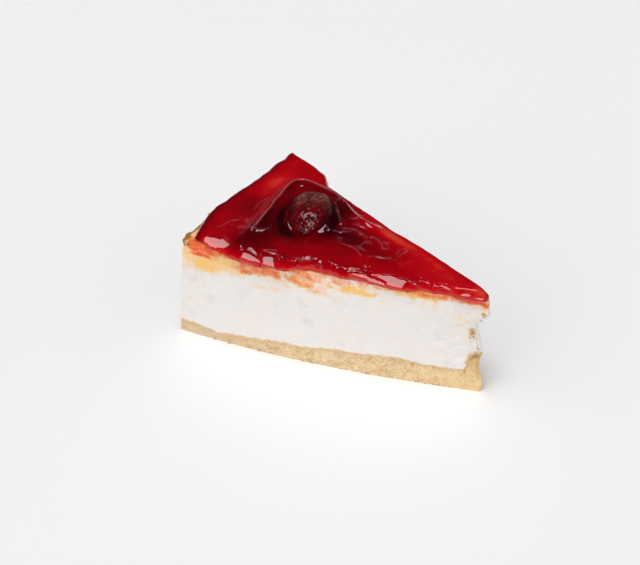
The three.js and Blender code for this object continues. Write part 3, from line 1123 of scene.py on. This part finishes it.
    creases: tuple = (
        Crease(((62.5, 4.3), (59.4, 5.3), (57.0, 5.8), (54.4, 5.3)), 0.35, 0.6),
        Crease(((61.6, 1.8), (58.7, 2.2), (55.6, 1.6), (53.4, 1.2)), 0.4, 0.7, 0.55),
        Crease(((54.5, 0.2), (52.3, 2.9), (49.4, 2.6), (46.7, 1.3), (44.4, -0.1)), 0.7, 1.0, 0.6),
        Crease(((50.7, 4.0), (48.1, 3.5), (46.0, 3.7), (44.9, 5.4)), 0.35, 0.7, 0.5),
        Crease(((61.3, -8.1), (57.6, -7.4), (54.9, -6.7), (52.3, -7.2), (48.6, -9.3)), 0.35, 0.6),
        Crease(((47.4, -7.7), (45.4, -5.9), (42.9, -4.9), (39.8, -3.5), (37.0, -3.1)), 0.4, 0.6, 0.7),
        Crease(((39.2, -0.4), (40.0, 2.9), (39.0, 4.8), (37.2, 4.1), (37.7, 1.4), (38.2, -1.2)), 0.45, 0.7,
               0.5),
        Crease(((70.5, -3.0), (66.6, -3.1), (63.6, -2.7), (61.8, -1.4), (60.0, 0.8)), 0.45, 0.6, 0.7),
        Crease(((77.0, 12.0), (72.8, 11.9), (71.0, 12.7), (68.3, 12.2), (65.8, 11.9), (62.0, 12.6)), 0.9,
               0.9, 0.7),
        Crease(((77.4, 12.6), (74.2, 10.4), (71.2, 7.6), (68.6, 4.6)), 0.2, 0.8, 0.6),
        Crease(((77.1, 18.0), (74.4, 16.2), (71.2, 14.8), (69.2, 14.4)), 0.4, 0.6, 0.7),
        Crease(((76.2, 8.1), (73.6, 8.3), (70.6, 6.4), (67.6, 3.7), (65.4, 1.2)), 1.3, 1.4, 0.4),
        Crease(((106.5, -23.7), (105.0, -22.1), (104.1, -18.6), (102.0, -16.0), (99.0, -15.5)), 0.35, 0.7),
        Crease(((97.4, -20.0), (95.2, -19.3), (92.2, -19.3), (89.1, -18.0), (87.3, -15.9), (87.6, -13.2)),
               0.5, 0.7, 0.7),
        Crease(((100.4, -8.0), (101.0, -3.0), (100.6, 2.0), (98.6, 5.0)), 0.3, 0.7, 0.5),
        Crease(((99.0, -5.5), (99.4, -1.4), (99.2, 2.4)), 0.3, 0.6, 0.5),
        Crease(((100.5, -26.8), (96.7, -28.7), (94.2, -29.7)), 0.45, 0.8, 0.3),
        Crease(((83.0, -26.6), (77.8, -25.1), (73.0, -25.4), (69.0, -25.9)), 0.35, 0.6, 0.3),
        Crease(((70.2, -24.5), (65.7, -22.7), (61.2, -19.5)), 0.3, 0.5, 0.5),
    )
    # Where the painted highlight streaks lie.
    highlight_wisps: tuple = (
        Tint(50.0, -1.0, 13.0, 7.0, 0.5), Tint(97.0, -12.0, 5.0, 10.0, 0.35),
        Tint(64.0, 9.0, 8.0, 5.0, 0.45), Tint(104.0, 4.0, 4.0, 10.0, 0.2),
    )
    # Painted sheen patches.
    sheens: tuple = (
        Tint(47.8, 8.4, 2.2, 0.9, 0.35), Tint(54.5, 10.1, 2.4, 0.9, 0.25), Tint(70.5, 12.7, 3.0, 0.7, 0.5),
        Tint(65.8, 12.1, 2.5, 0.6, 0.5), Tint(102.3, 15.5, 2.5, 4.0, 0.06),
        Tint(104.5, 9.5, 2.5, 4.5, 0.06),
    )
    # Besides the jelly's depth, the darker tints by the berry and inside the crest are painted shade, and
    # the lighter ones along the back cut a painted sheen.
    tints: tuple = (
        Tint(106.0, 12.0, 6.0, 8.0, -1.2), Tint(104.0, -4.0, 6.0, 12.0, 2.0),
        Tint(112.0, 20.0, 9.0, 9.0, -0.2), Tint(91.0, -13.0, 6.0, 8.0, 2.2),
        Tint(89.0, -24.0, 9.0, 6.0, 1.8), Tint(80.0, -13.0, 5.0, 3.0, 2.4), Tint(72.0, 3.0, 5.0, 7.0, 2.0),
        Tint(62.0, -3.0, 8.0, 5.0, 1.9), Tint(52.0, -3.5, 10.0, 3.0, 1.2), Tint(68.0, 9.0, 5.0, 4.0, 1.2),
        Tint(54.0, 9.0, 10.0, 3.5, -1.0), Tint(40.0, 7.0, 12.0, 3.5, -1.0),
        Tint(20.0, -2.0, 15.0, 7.0, -2.0), Tint(42.0, -11.0, 12.0, 5.0, -0.6),
        Tint(68.0, -18.0, 12.0, 5.0, -0.4), Tint(41.5, -4.0, 4.0, 3.0, 0.9),
        Tint(8.0, -2.5, 9.0, 4.0, -0.7), Tint(100.0, -30.0, 12.0, 3.0, -0.3),
        Tint(55.0, 10.2, 8.0, 2.2, -1.6), Tint(46.0, 8.0, 4.0, 2.0, -1.2), Tint(2.0, -0.8, 4.0, 3.0, -2.6),
        Tint(103.5, 10.0, 2.6, 9.0, -1.1), Tint(103.0, 2.0, 2.0, 4.0, -0.9),
        Tint(94.0, -27.0, 7.0, 4.0, 1.0), Tint(84.0, -17.0, 6.0, 5.0, 1.0),
    )
    bubbles: tuple = (
        Bubble(75.1, -12.1, 0.6, 0.35), Bubble(67.5, -5.0), Bubble(56.8, -19.2, 0.7, 0.4),
        Bubble(54.9, -15.2), Bubble(62.7, 0.7, 0.6, 0.4), Bubble(43.8, -12.4, 0.7, 0.3),
        Bubble(41.5, -11.6, 0.6, 0.3), Bubble(97.0, -31.5), Bubble(90.5, -29.0, 0.45, 0.25),
        Bubble(72.0, -22.0, 0.4, 0.2), Bubble(60.0, -18.0, 0.4, 0.2), Bubble(16.0, -2.0, 0.4, 0.2),
        Bubble(21.0, 3.0, 0.5, 0.25),
    )

    def build(self) -> bpy.types.Object:
        """Builds the jelly and returns it."""
        piece = unit_block("jelly_layer", self.cuts)
        self.close_underside(piece)
        share = points_of(piece) + 0.5
        s = (1.0 - self.crowded(2.0 * share[:, 0] - 1.0, self.crowding_along)) / 2.0
        t = self.crowded(2.0 * share[:, 1] - 1.0, self.crowding_across)
        level = np.full_like(s, PLAN.filling_top + PLAN.layer_gap)
        d, _, _ = PLAN.place(s, t, level, Inset())
        flat = in_plan(d, t * PLAN.half_width_at_rim)
        wander = profile(self.front_wander, d) + rough(self.edge_ripple, flat)
        loose = rough(self.rim_ripple, flat)
        out = profile(self.overhang, d) * self.overhang_grows.at(wander)
        held = Inset(front=np.where(wander > 0.0, wander, -out),
                     back=self.back_inset + self.back_ripple * loose,
                     rim=self.rim_inset + self.corner_inset * self.corner_across.at(t) + loose,
                     tip=self.tip_inset)
        d, x, y = PLAN.place(s, t, level, held)
        across = y - PLAN.axis_y
        sides = self.side_distances(t, d, across, held)
        outline = level - self.droop * (np.maximum(-wander, 0.0) - out) * self.droop_near_edge.at(sides[0])
        rounding = self.rounding(sides, d)
        surface = outline + self.edge_height + (level + self.depth_at(d, across) - outline) * rounding
        underside = outline - self.sunk * self.sunk_from_edge.at(np.min(sides, axis=0)) - self.under_gap
        surface = np.maximum(self.flattened(surface, d, across), underside + self.least_thickness)
        move_points(piece, np.column_stack([x, y, underside + (surface - underside) * share[:, 2]]))
        # Depth with painted shade and sheen worked in, for the colour.
        paint(piece, "depth_and_shade_mm", self.depth_with_painted_light(d, across, rounding, sides))
        # Painted highlights and sheen.
        paint(piece, "painted_highlight", np.clip(self.painted_highlights(d, across), 0.0, 1.0))
        finish_piece(piece, self.finish.material(), "strawberry_jelly")
        return piece

    @staticmethod
    def crowded(even: np.ndarray, share: float) -> np.ndarray:
        """Crowds evenly spread places from -1 to 1 towards both ends."""
        return share * np.sin(even * math.pi / 2.0) + (1.0 - share) * even

    @staticmethod
    def close_underside(piece: bpy.types.Object) -> None:
        """Joins the cells of the hidden underside into one face."""
        bpy.ops.object.mode_set(mode="EDIT")
        bpy.ops.mesh.select_mode(type="FACE")
        mesh = bmesh.from_edit_mesh(piece.data)
        for face in mesh.faces:
            face.select_set(face.normal.z < DOWNWARD)
        bmesh.update_edit_mesh(piece.data)
        bpy.ops.mesh.dissolve_faces()
        bpy.ops.object.mode_set(mode="OBJECT")

    def side_distances(self, t: np.ndarray, d: np.ndarray, across: np.ndarray, held: Inset) -> np.ndarray:
        """Measures how far points in plan are from the front, back, rim and tip of the jelly's outline.

        Args:
            t: Share of the way across.
            d: Distance from the tip.
            across: Place across, from the slice's axis.
            held: The jelly's inset from the slice's outline.

        Returns:
            Four rows of distances in mm.
        """
        height = np.full_like(d, PLAN.filling_top)
        front = across - (PLAN.front_edge(d) + held.front)
        back = (PLAN.back_edge(d, height) - held.back) - across
        rim = PLAN.rim_distance(t) - held.rim - profile(PLAN.rim_lean_profile, t) - d
        tip = d - PLAN.tip_start - held.tip + PLAN.tip_bow + self.tip_square
        return np.maximum(np.stack([front * self.front_square, back * self.back_square, rim, tip]), 0.0)

    def rounding(self, sides: np.ndarray, d: np.ndarray) -> np.ndarray:
        """Gives the share of its height that the jelly has reached, from 0 at the outline.

        Args:
            sides: Distances from the four sides.
            d: Distance from the tip.

        Returns:
            A share from 0 to 1.
        """
        uneven = 1.0 + self.lip_ripple.at(in_plan(d, sides[0]))
        lips = (profile(self.front_lip, d) * uneven, profile(self.back_lip, d), self.rim_lip, self.tip_lip)
        powers = (profile(self.front_slope, d), self.far_power, self.far_power, self.tip_power)
        shares = [np.clip(1.0 - np.clip(1.0 - side / lip, 0.0, 1.0) ** 2, 0.0, 1.0) ** power
                  for side, lip, power in zip(sides, lips, powers)]
        front, back, rim, tip = shares
        return front * tip * np.minimum(back, rim)

    def inside_mound(self, d: np.ndarray, y: np.ndarray) -> np.ndarray:
        """Gives how far places lie inside the heap's foot by the rim and the back cut, in mm."""
        widening = (self.mound_back_far - self.mound_back_near) * self.mound_back_along.at(d)
        back_edge = self.mound_back_near + widening
        rim_edge = profile(self.mound_rim_edge, y)
        corner_x = np.clip(self.mound_corner - (rim_edge - d), 0.0, 2.0 * self.mound_corner)
        corner_y = np.clip(self.mound_corner - (back_edge - y), 0.0, 2.0 * self.mound_corner)
        return self.mound_corner - np.hypot(corner_x, corner_y)

    def mound_share(self, d: np.ndarray, y: np.ndarray) -> np.ndarray:
        """Gives how much of the heap is left at places towards the tip and the front cut, from 0 to 1."""
        to_tip = 1.0 - smooth((BERRY.from_tip - self.mound_full_tip - d) / self.mound_fade_to_tip)
        to_front = 1.0 - smooth((BERRY.y - self.mound_full_front - y) / self.mound_fade_to_front)
        return to_tip * to_front

    def mound(self, d: np.ndarray, y: np.ndarray) -> np.ndarray:
        """Gives the thickness that the heap round the berry adds."""
        crest = smooth(self.inside_mound(d, y) / self.mound_edge_width)
        return self.mound_height * crest * self.mound_share(d, y)

    def depth_at(self, d: np.ndarray, y: np.ndarray) -> np.ndarray:
        """Gives the jelly's depth away from its edges.

        Args:
            d: Distance from the tip.
            y: Place across, from the slice's axis.

        Returns:
            Depth in mm.
        """
        flat = in_plan(d, y)
        inside = self.inside_mound(d, y)
        ridge = self.ridge_height * self.ridge_inside.at(inside)
        ridge *= self.ridge_along.at(d) * self.ridge_across.at(y)
        depth = self.thickness + self.mound(d, y)
        depth += self.mound_share(d, y) * (ridge - self.dip * self.dip_inside.at(inside))
        depth -= self.rim_thinning * self.thin_along.at(d) * self.thin_across.at(y)
        depth += rough(self.swell, flat)
        depth += self.near_front.at(y - PLAN.front_edge(d)) * rough(self.front_swell, flat)
        depth += self.round_berry(d, y)
        for crease in self.creases:
            depth += crease.height * crease.share(d, y, crease.width)
        for bubble in self.bubbles:
            depth += bubble.at(d, y)
        return depth

    def painted_highlights(self, d: np.ndarray, y: np.ndarray) -> np.ndarray:
        """Gives the painted highlight along the creases, streaks and heap's crest, and the painted sheen,
        from 0 to 1.
        """
        flat = in_plan(d, y)
        broken = self.highlight_even + self.highlight_cloud.at(flat)
        pale = np.zeros_like(d)
        for crease in self.creases:
            pale = np.maximum(pale, crease.pale * broken * crease.share(d, y, self.highlight_width))
        for wisp in self.highlight_wisps:
            pale = np.maximum(pale, wisp.at(d, y) * self.highlight_streaks(flat))
        left = self.crest_fade.at(self.mound_share(d, y)) * self.crest_along.at(d) * self.crest_across.at(y)
        inside = self.inside_mound(d, y) - self.crest_wander.at(flat)
        for line, strength in self.crest_highlights:
            pale = np.maximum(pale, strength * left * line.at(inside))
        for sheen in self.sheens:
            pale = np.maximum(pale, sheen.at(d, y) * (self.sheen_even + self.sheen_cloud.at(flat)))
        return pale

    def highlight_streaks(self, flat: np.ndarray) -> np.ndarray:
        """Gives thin broken wandering lines, shaped like the folds of a setting skin, for painted highlight
        streaks, from 0 to 1.
        """
        lines = self.streak_line.at(rough(self.streak_bends, flat))
        return lines * self.streak_share.at(self.streak_breaks.at(flat))

    def flattened(self, surface: np.ndarray, d: np.ndarray, y: np.ndarray) -> np.ndarray:
        """Gives the surface with its flat slanting places, which all slant the same way."""
        ragged = self.facet_ragged.at(in_plan(d, y))
        for facet in self.facets:
            share = smooth((facet.inside(d, y) + ragged) / self.facet_edge + 0.5)
            plane = PLAN.filling_top + PLAN.layer_gap + facet.plane(d, y, self.facet_rise)
            surface = surface + (plane - surface) * share
        return surface

    def round_berry(self, d: np.ndarray, y: np.ndarray) -> np.ndarray:
        """Gives how the jelly climbs the berry's flanks and dips in a crevice beside them."""
        reach, along = BERRY.plan_reach(d, y)
        flank = self.berry_flank.at(np.abs(along + self.berry_flank_shift))
        climb = self.berry_climb * self.berry_climb_at.at(reach)
        sides = flank * (climb - self.crevice * self.crevice_at.at(reach))
        point = self.point_dip * self.point_along.at(along) * self.point_reach.at(reach)
        return sides - point - self.seat_dip * self.seat_reach.at(reach)

    def depth_with_painted_light(self, d: np.ndarray, y: np.ndarray, rounding: np.ndarray,
                    sides: np.ndarray) -> np.ndarray:
        """Gives the depth that the colour goes by: deeper in the heap, thinner with a painted sheen along
        the back cut, with painted shade in the crevice and along the far edges.
        """
        behind = 1.0 - self.behind_inside.at(self.inside_mound(d, y))
        depth = self.shown_thickness + self.shown_mound * self.mound(d, y)
        depth -= self.behind_thinner * behind * self.behind_along.at(d)
        # Thinner jelly and a painted sheen along the back cut.
        towards_rim, towards_tip = self.back_band_ends
        depth -= self.back_thin_and_sheen * self.back_band.at(sides[1]) * towards_rim.at(d) * towards_tip.at(d)
        # Painted shade in the crevice beside the berry.
        reach, along = BERRY.plan_reach(d, y)
        depth += self.crevice_shade * self.crevice_shown.at(reach) * self.crevice_along.at(np.abs(along))
        # Tints for depth, with painted shade by the berry and a painted sheen along the back cut.
        for tint in self.tints:
            depth += tint.at(d, y)
        shown = self.lip_shown + (depth - self.lip_shown) * smooth(rounding * self.lip_colour)
        # Painted shade: a thin dark line along the back cut and the rim.
        far_shade = np.maximum(self.back_shade_line.at(sides[1]), self.rim_shade_share * self.rim_shade_line.at(sides[2]))
        return shown + (self.far_edge_shade_depth - shown) * far_shade


@dataclass
class Strawberry:
    """One whole hulled strawberry, lying with its pointed end towards the front cut."""

    length: float = 23.5
    width: float = 18.5
    height: float = 10.8
    from_tip: float = 78.5
    y: float = -1.6
    turn_deg: float = 116.0
    tilt_deg: float = 5.0
    roll: float = 0.1
    widest: float = 0.6
    point: float = 1.8
    seed_pits: int = 190
    pit_depth: float = 0.32
    pit_mm: float = 0.55
    hull_taper: float = 0.3
    hull_power: float = 2.4
    seat_above: float = 0.35
    swell: tuple = (Grain(51, 0.5, 5.0), Grain(53, 0.3, 2.0))
    swell_held: float = 0.6
    dry_up: Ease = Ease(1.2, 3.6)
    dry_along: Ease = Ease(0.45, 0.75)
    dry_even: float = 0.75
    coat_wets: float = 0.4
    dry_cloud: Grain = Grain(52, 0.5, 3.0)
    # Jelly coat and painted shade on the berry's flanks.
    coat_and_shade_most: float = 0.85
    coat_and_shade_aside: Ease = Ease(0.4, 0.75)
    coat_and_shade_edge: Grain = Grain(61, 0.12, 2.0)
    finish: CookedBerry = field(default_factory=CookedBerry)

    def plan_reach(self, d: np.ndarray, y: np.ndarray) -> tuple:
        """Gives how far places in plan are from the berry's middle, and how far along it.

        Args:
            d: Distance from the tip.
            y: Place across, from the slice's axis.

        Returns:
            The reach, where 1 is the berry's own outline, and the part of it towards the hull.
        """
        turn = math.radians(self.turn_deg)
        x, across = self.from_tip - d, y - self.y
        along = x * math.cos(turn) + across * math.sin(turn)
        aside = across * math.cos(turn) - x * math.sin(turn)
        return np.hypot(along / (self.length / 2.0), aside / (self.width / 2.0)), along / (self.length / 2.0)

    def radius_at(self, u: np.ndarray) -> np.ndarray:
        """Gives the half width from the pointed end, 0, to the hulled end, 1."""
        to_point = np.sqrt(np.clip(1.0 - (1.0 - u / self.widest) ** 2, 0.0, 1.0)) ** self.point
        past = np.clip((u - self.widest) / (1.0 - self.widest), 0.0, 1.0)
        return self.width / 2.0 * np.where(u < self.widest, to_point,
                                           1.0 - self.hull_taper * past ** self.hull_power)

    def build(self) -> bpy.types.Object:
        """Builds the berry and returns it."""
        deselect_all()
        bpy.ops.mesh.primitive_ico_sphere_add(subdivisions=7, radius=1.0)
        piece = bpy.context.object
        piece.name = piece.data.name = "whole_strawberry"
        unit = points_of(piece)
        unit /= np.linalg.norm(unit, axis=1)[:, None]
        u = (unit[:, 0] + 1.0) / 2.0
        ring = np.maximum(np.hypot(unit[:, 1], unit[:, 2]), TINY)
        radius = self.radius_at(u) * np.minimum(1.0, ring / np.maximum(np.sqrt(u * (1 - u)) * 2.0, TINY))
        points = np.column_stack([(u - 0.5) * self.length, radius * unit[:, 1] / ring,
                                  radius * unit[:, 2] / ring])
        points = self.pit(points, unit)
        points[:, 2] *= self.height / self.width
        aside = np.abs(points[:, 1]) / (self.width / 2.0)
        move_points(piece, points)
        seat = PLAN.filling_top + PLAN.layer_gap + self.height / 2.0 + self.seat_above
        turn = Euler((0.0, -math.radians(self.tilt_deg), math.radians(self.turn_deg))).to_matrix().to_4x4()
        turn.translation = Vector((PLAN.tip_x - self.from_tip, PLAN.axis_y + self.y, seat)) * MM
        piece.data.transform(turn)
        placed = points_of(piece) / MM
        placed[:, 2] += self.roll * (placed[:, 0] - turn.translation.x / MM)
        move_points(piece, placed)
        # Jelly coat and painted shade on the flanks.
        coat_and_shade = self.coat_and_shade_aside.at(aside + self.coat_and_shade_edge.at(placed))
        dry = self.dry_up.at(placed[:, 2] - seat) * self.dry_along.at(u) * (1.0 - self.coat_wets * coat_and_shade)
        paint(piece, "coat_and_shade", self.coat_and_shade_most * coat_and_shade)
        paint(piece, "dry", np.clip(dry * (self.dry_even + self.dry_cloud.at(placed)), 0.0, 1.0))
        finish_piece(piece, self.finish.material(), "strawberry")
        return piece

    def pit(self, points: np.ndarray, unit: np.ndarray) -> np.ndarray:
        """Presses in a pit for each seed.

        Args:
            points: The berry's points before it is turned.
            unit: The same points on a ball one wide, for their direction.

        Returns:
            The points with their pits.
        """
        golden = math.pi * (3.0 - math.sqrt(5.0))
        steps = np.arange(self.seed_pits)
        along = 1.0 - 2.0 * (steps + 0.5) / self.seed_pits
        ring = np.sqrt(1.0 - along ** 2)
        seeds = np.column_stack([along, ring * np.cos(golden * steps), ring * np.sin(golden * steps)])
        nearest = np.arccos(np.clip((unit @ seeds.T).max(axis=1), -1.0, 1.0)) * self.width / 2.0
        pits = self.pit_depth * np.exp(-(nearest / self.pit_mm) ** 2)
        return points - unit * (pits - rough(self.swell, points) + self.swell_held)[:, None]


BERRY = Strawberry()


@dataclass(frozen=True)
class CrumbSpot:
    """A loose crumb on the tip: its distance from the tip, height, side and size."""

    from_tip: float
    height: float
    across: float
    size: float


@dataclass(frozen=True)
class CrumbStretch:
    """A stretch with small crumbs: their number, its ends from the tip, and heights over the base."""

    count: int
    nearest: float
    farthest: float
    lowest: float = 0.0
    highest: float = 0.0
    on_floor: bool = False


@dataclass
class LooseCrumbs:
    """Biscuit crumbs that the knife carried onto the tip, and small ones along the base's edges."""

    spots: tuple = (
        CrumbSpot(-0.65, 37.5, -1.2, 2.2), CrumbSpot(-0.5, 36.2, -1.1, 1.1),
        CrumbSpot(3.9, 27.5, -1.5, 2.3), CrumbSpot(4.5, 26.4, -1.9, 1.1), CrumbSpot(4.5, 24.8, -1.9, 0.8),
        CrumbSpot(3.3, 25.2, -1.4, 0.7), CrumbSpot(3.0, 27.0, -1.3, 0.9), CrumbSpot(0.6, 33.6, -0.7, 0.8),
        CrumbSpot(0.3, 18.4, -0.6, 1.1), CrumbSpot(-0.7, 41.2, -1.1, 0.8), CrumbSpot(1.4, 20.1, -0.9, 0.7),
    )
    lump: CrumbStretch = CrumbStretch(26, 1.4, 6.0, -1.5, 2.0)
    base_top: CrumbStretch = CrumbStretch(16, 6.0, 108.0, -0.3, 0.5)
    foot: CrumbStretch = CrumbStretch(20, 3.0, 106.0, on_floor=True)
    least_mm: float = 0.35
    most_mm: float = 0.9
    floor_share: float = 0.4
    proud_share: float = 0.1
    seed: int = 81
    large_mm: float = 1.0
    squash_seed: int = 100
    least_squash: float = 0.65
    bumps: tuple = (Grain(60, 0.5, 0.7), Grain(70, 0.3, 0.35))
    finish: DryCrumb = field(default_factory=DryCrumb)

    def build(self) -> bpy.types.Object:
        """Builds the crumbs as one joined mesh and returns it."""
        crumbs = [self.one(index, spot) for index, spot in enumerate(self.spots + self.scattered())]
        deselect_all()
        for crumb in crumbs:
            crumb.select_set(True)
        bpy.context.view_layer.objects.active = crumbs[0]
        bpy.ops.object.join()
        piece = crumbs[0]
        piece.name = piece.data.name = "loose_crumbs"
        finish_piece(piece, self.finish.material(), None)
        return piece

    def scattered(self) -> tuple:
        """Draws the small crumbs: round the lump at the tip, along the base's top and along its foot."""
        draw = np.random.default_rng(self.seed)
        spots = []
        for stretch in (self.lump, self.base_top, self.foot):
            for d in draw.uniform(stretch.nearest, stretch.farthest, stretch.count):
                size = draw.uniform(self.least_mm, self.most_mm)
                if stretch.on_floor:
                    height = size * self.floor_share
                else:
                    share = np.array([(d - PLAN.tip_start) / (PLAN.cake_radius - PLAN.tip_start)])
                    height = float(PLAN.base_top(share)[0]) + draw.uniform(stretch.lowest, stretch.highest)
                lean = float(profile(PLAN.tip_profile, height)) * math.exp(-d / PLAN.tip_reach)
                across = float(PLAN.front_edge(d)) + self.proud_share * size
                spots.append(CrumbSpot(d - lean, height, across, size))
        return tuple(spots)

    def one(self, index: int, spot: CrumbSpot) -> bpy.types.Object:
        """Models one crumb.

        Args:
            index: Its number, which fixes its shape.
            spot: Where it sits.

        Returns:
            The crumb.
        """
        deselect_all()
        bpy.ops.mesh.primitive_ico_sphere_add(subdivisions=4 if spot.size > self.large_mm else 3, radius=1.0)
        crumb = bpy.context.object
        points = points_of(crumb)
        points /= np.linalg.norm(points, axis=1)[:, None]
        squash = np.random.default_rng(self.squash_seed + index).uniform(self.least_squash, 1.0, 3)
        bumps = tuple(replace(grain, seed=grain.seed + index) for grain in self.bumps)
        grow = 1.0 + rough(bumps, points)
        centre = np.array([PLAN.tip_x - spot.from_tip, PLAN.axis_y + spot.across, spot.height])
        moved = points * grow[:, None] * squash * spot.size / 2.0 + centre
        moved[:, 2] = np.maximum(moved[:, 2], OFF_FLOOR_MM)
        move_points(crumb, moved)
        return crumb


@dataclass(frozen=True)
class FarLight:
    """A wide, far light: its name, where it shines from and its strength."""

    name: str
    direction: tuple
    strength: float


@dataclass
class Studio:
    """Pale floor, soft light and the camera of the photograph's view."""

    focal_px: float = 2600.0
    image_width_px: float = 640.0
    sensor_mm: float = 36.0
    clip_end_m: float = 20.0
    azimuth_deg: float = 35.0
    elevation_deg: float = 37.0
    distance: float = 1040.0
    aim: tuple = (-29.2, 20.6, 0.0)
    floor_size: float = 6000.0
    floor_colour: str = "#f7f7f8"
    floor_roughness: float = 0.8
    room_colour: str = "#f2f4f8"
    room_strength: float = 0.03
    window_place: tuple = (90.0, -660.0, 4000.0)
    window_width: float = 1780.0
    window_watts: float = 85.0
    far_light_deg: float = 80.0
    far_lights: tuple = (FarLight("key_light", (-0.5, -0.7, 0.55), 1.15),
                         FarLight("front_light", (0.42, -0.8, 0.42), 0.85),
                         FarLight("fill_light", (0.85, 0.4, 0.45), 0.95))

    def build(self) -> None:
        """Builds the camera, the floor, the lights and the world."""
        self.camera()
        self.floor()
        self.window()
        for far_light in self.far_lights:
            self.sun(far_light)
        self.room()
        bpy.context.scene.view_settings.view_transform = "Standard"
        bpy.context.scene.view_settings.look = "None"

    def camera(self) -> None:
        """Places the camera."""
        data = bpy.data.cameras.new("view")
        data.sensor_width = self.sensor_mm
        data.lens = self.focal_px * self.sensor_mm / self.image_width_px
        data.clip_end = self.clip_end_m
        camera = bpy.data.objects.new("view", data)
        bpy.context.scene.collection.objects.link(camera)
        azimuth = math.radians(self.azimuth_deg)
        rise = math.radians(self.elevation_deg)
        back = Vector((math.sin(azimuth) * math.cos(rise), -math.cos(azimuth) * math.cos(rise),
                       math.sin(rise)))
        camera.location = (Vector(self.aim) + back * self.distance) * MM
        camera.rotation_euler = (-back).to_track_quat("-Z", "Y").to_euler()
        bpy.context.scene.camera = camera

    def floor(self) -> None:
        """Lays the floor."""
        deselect_all()
        bpy.ops.mesh.primitive_plane_add(size=self.floor_size * MM)
        plane = bpy.context.object
        plane.name = "pale_floor"
        material, _, shader, _ = new_surface("matte_paint")
        shader.inputs["Base Color"].default_value = linear(self.floor_colour)
        shader.inputs["Roughness"].default_value = self.floor_roughness
        plane.data.materials.append(material)

    def window(self) -> None:
        """Hangs the square soft light that the jelly mirrors, facing the slice."""
        data = bpy.data.lights.new("window", "AREA")
        data.size = self.window_width * MM
        data.energy = self.window_watts
        light = bpy.data.objects.new("window", data)
        bpy.context.scene.collection.objects.link(light)
        light.location = Vector(self.window_place) * MM
        light.rotation_euler = Vector(self.window_place).to_track_quat("Z", "Y").to_euler()

    def sun(self, far_light: FarLight) -> None:
        """Adds a far and even light that wet surfaces don't mirror."""
        data = bpy.data.lights.new(far_light.name, "SUN")
        data.angle = math.radians(self.far_light_deg)
        data.energy = far_light.strength
        light = bpy.data.objects.new(far_light.name, data)
        light.visible_glossy = False
        bpy.context.scene.collection.objects.link(light)
        light.rotation_euler = Vector(far_light.direction).to_track_quat("Z", "Y").to_euler()

    def room(self) -> None:
        """Sets the light of the room."""
        world = bpy.data.worlds.new("room")
        world.use_nodes = True
        background = world.node_tree.nodes["Background"]
        background.inputs["Color"].default_value = linear(self.room_colour)
        background.inputs["Strength"].default_value = self.room_strength
        bpy.context.scene.world = world


def main() -> None:
    """Builds the studio and every piece."""
    logging.basicConfig(level=logging.INFO, format="%(message)s")
    Studio().build()
    for part in (BiscuitBase(), CheeseFilling(), JellyTop(), BERRY, LooseCrumbs()):
        piece = part.build()
        LOG.info("built %s", piece.name)


if __name__ == "__main__":
    main()
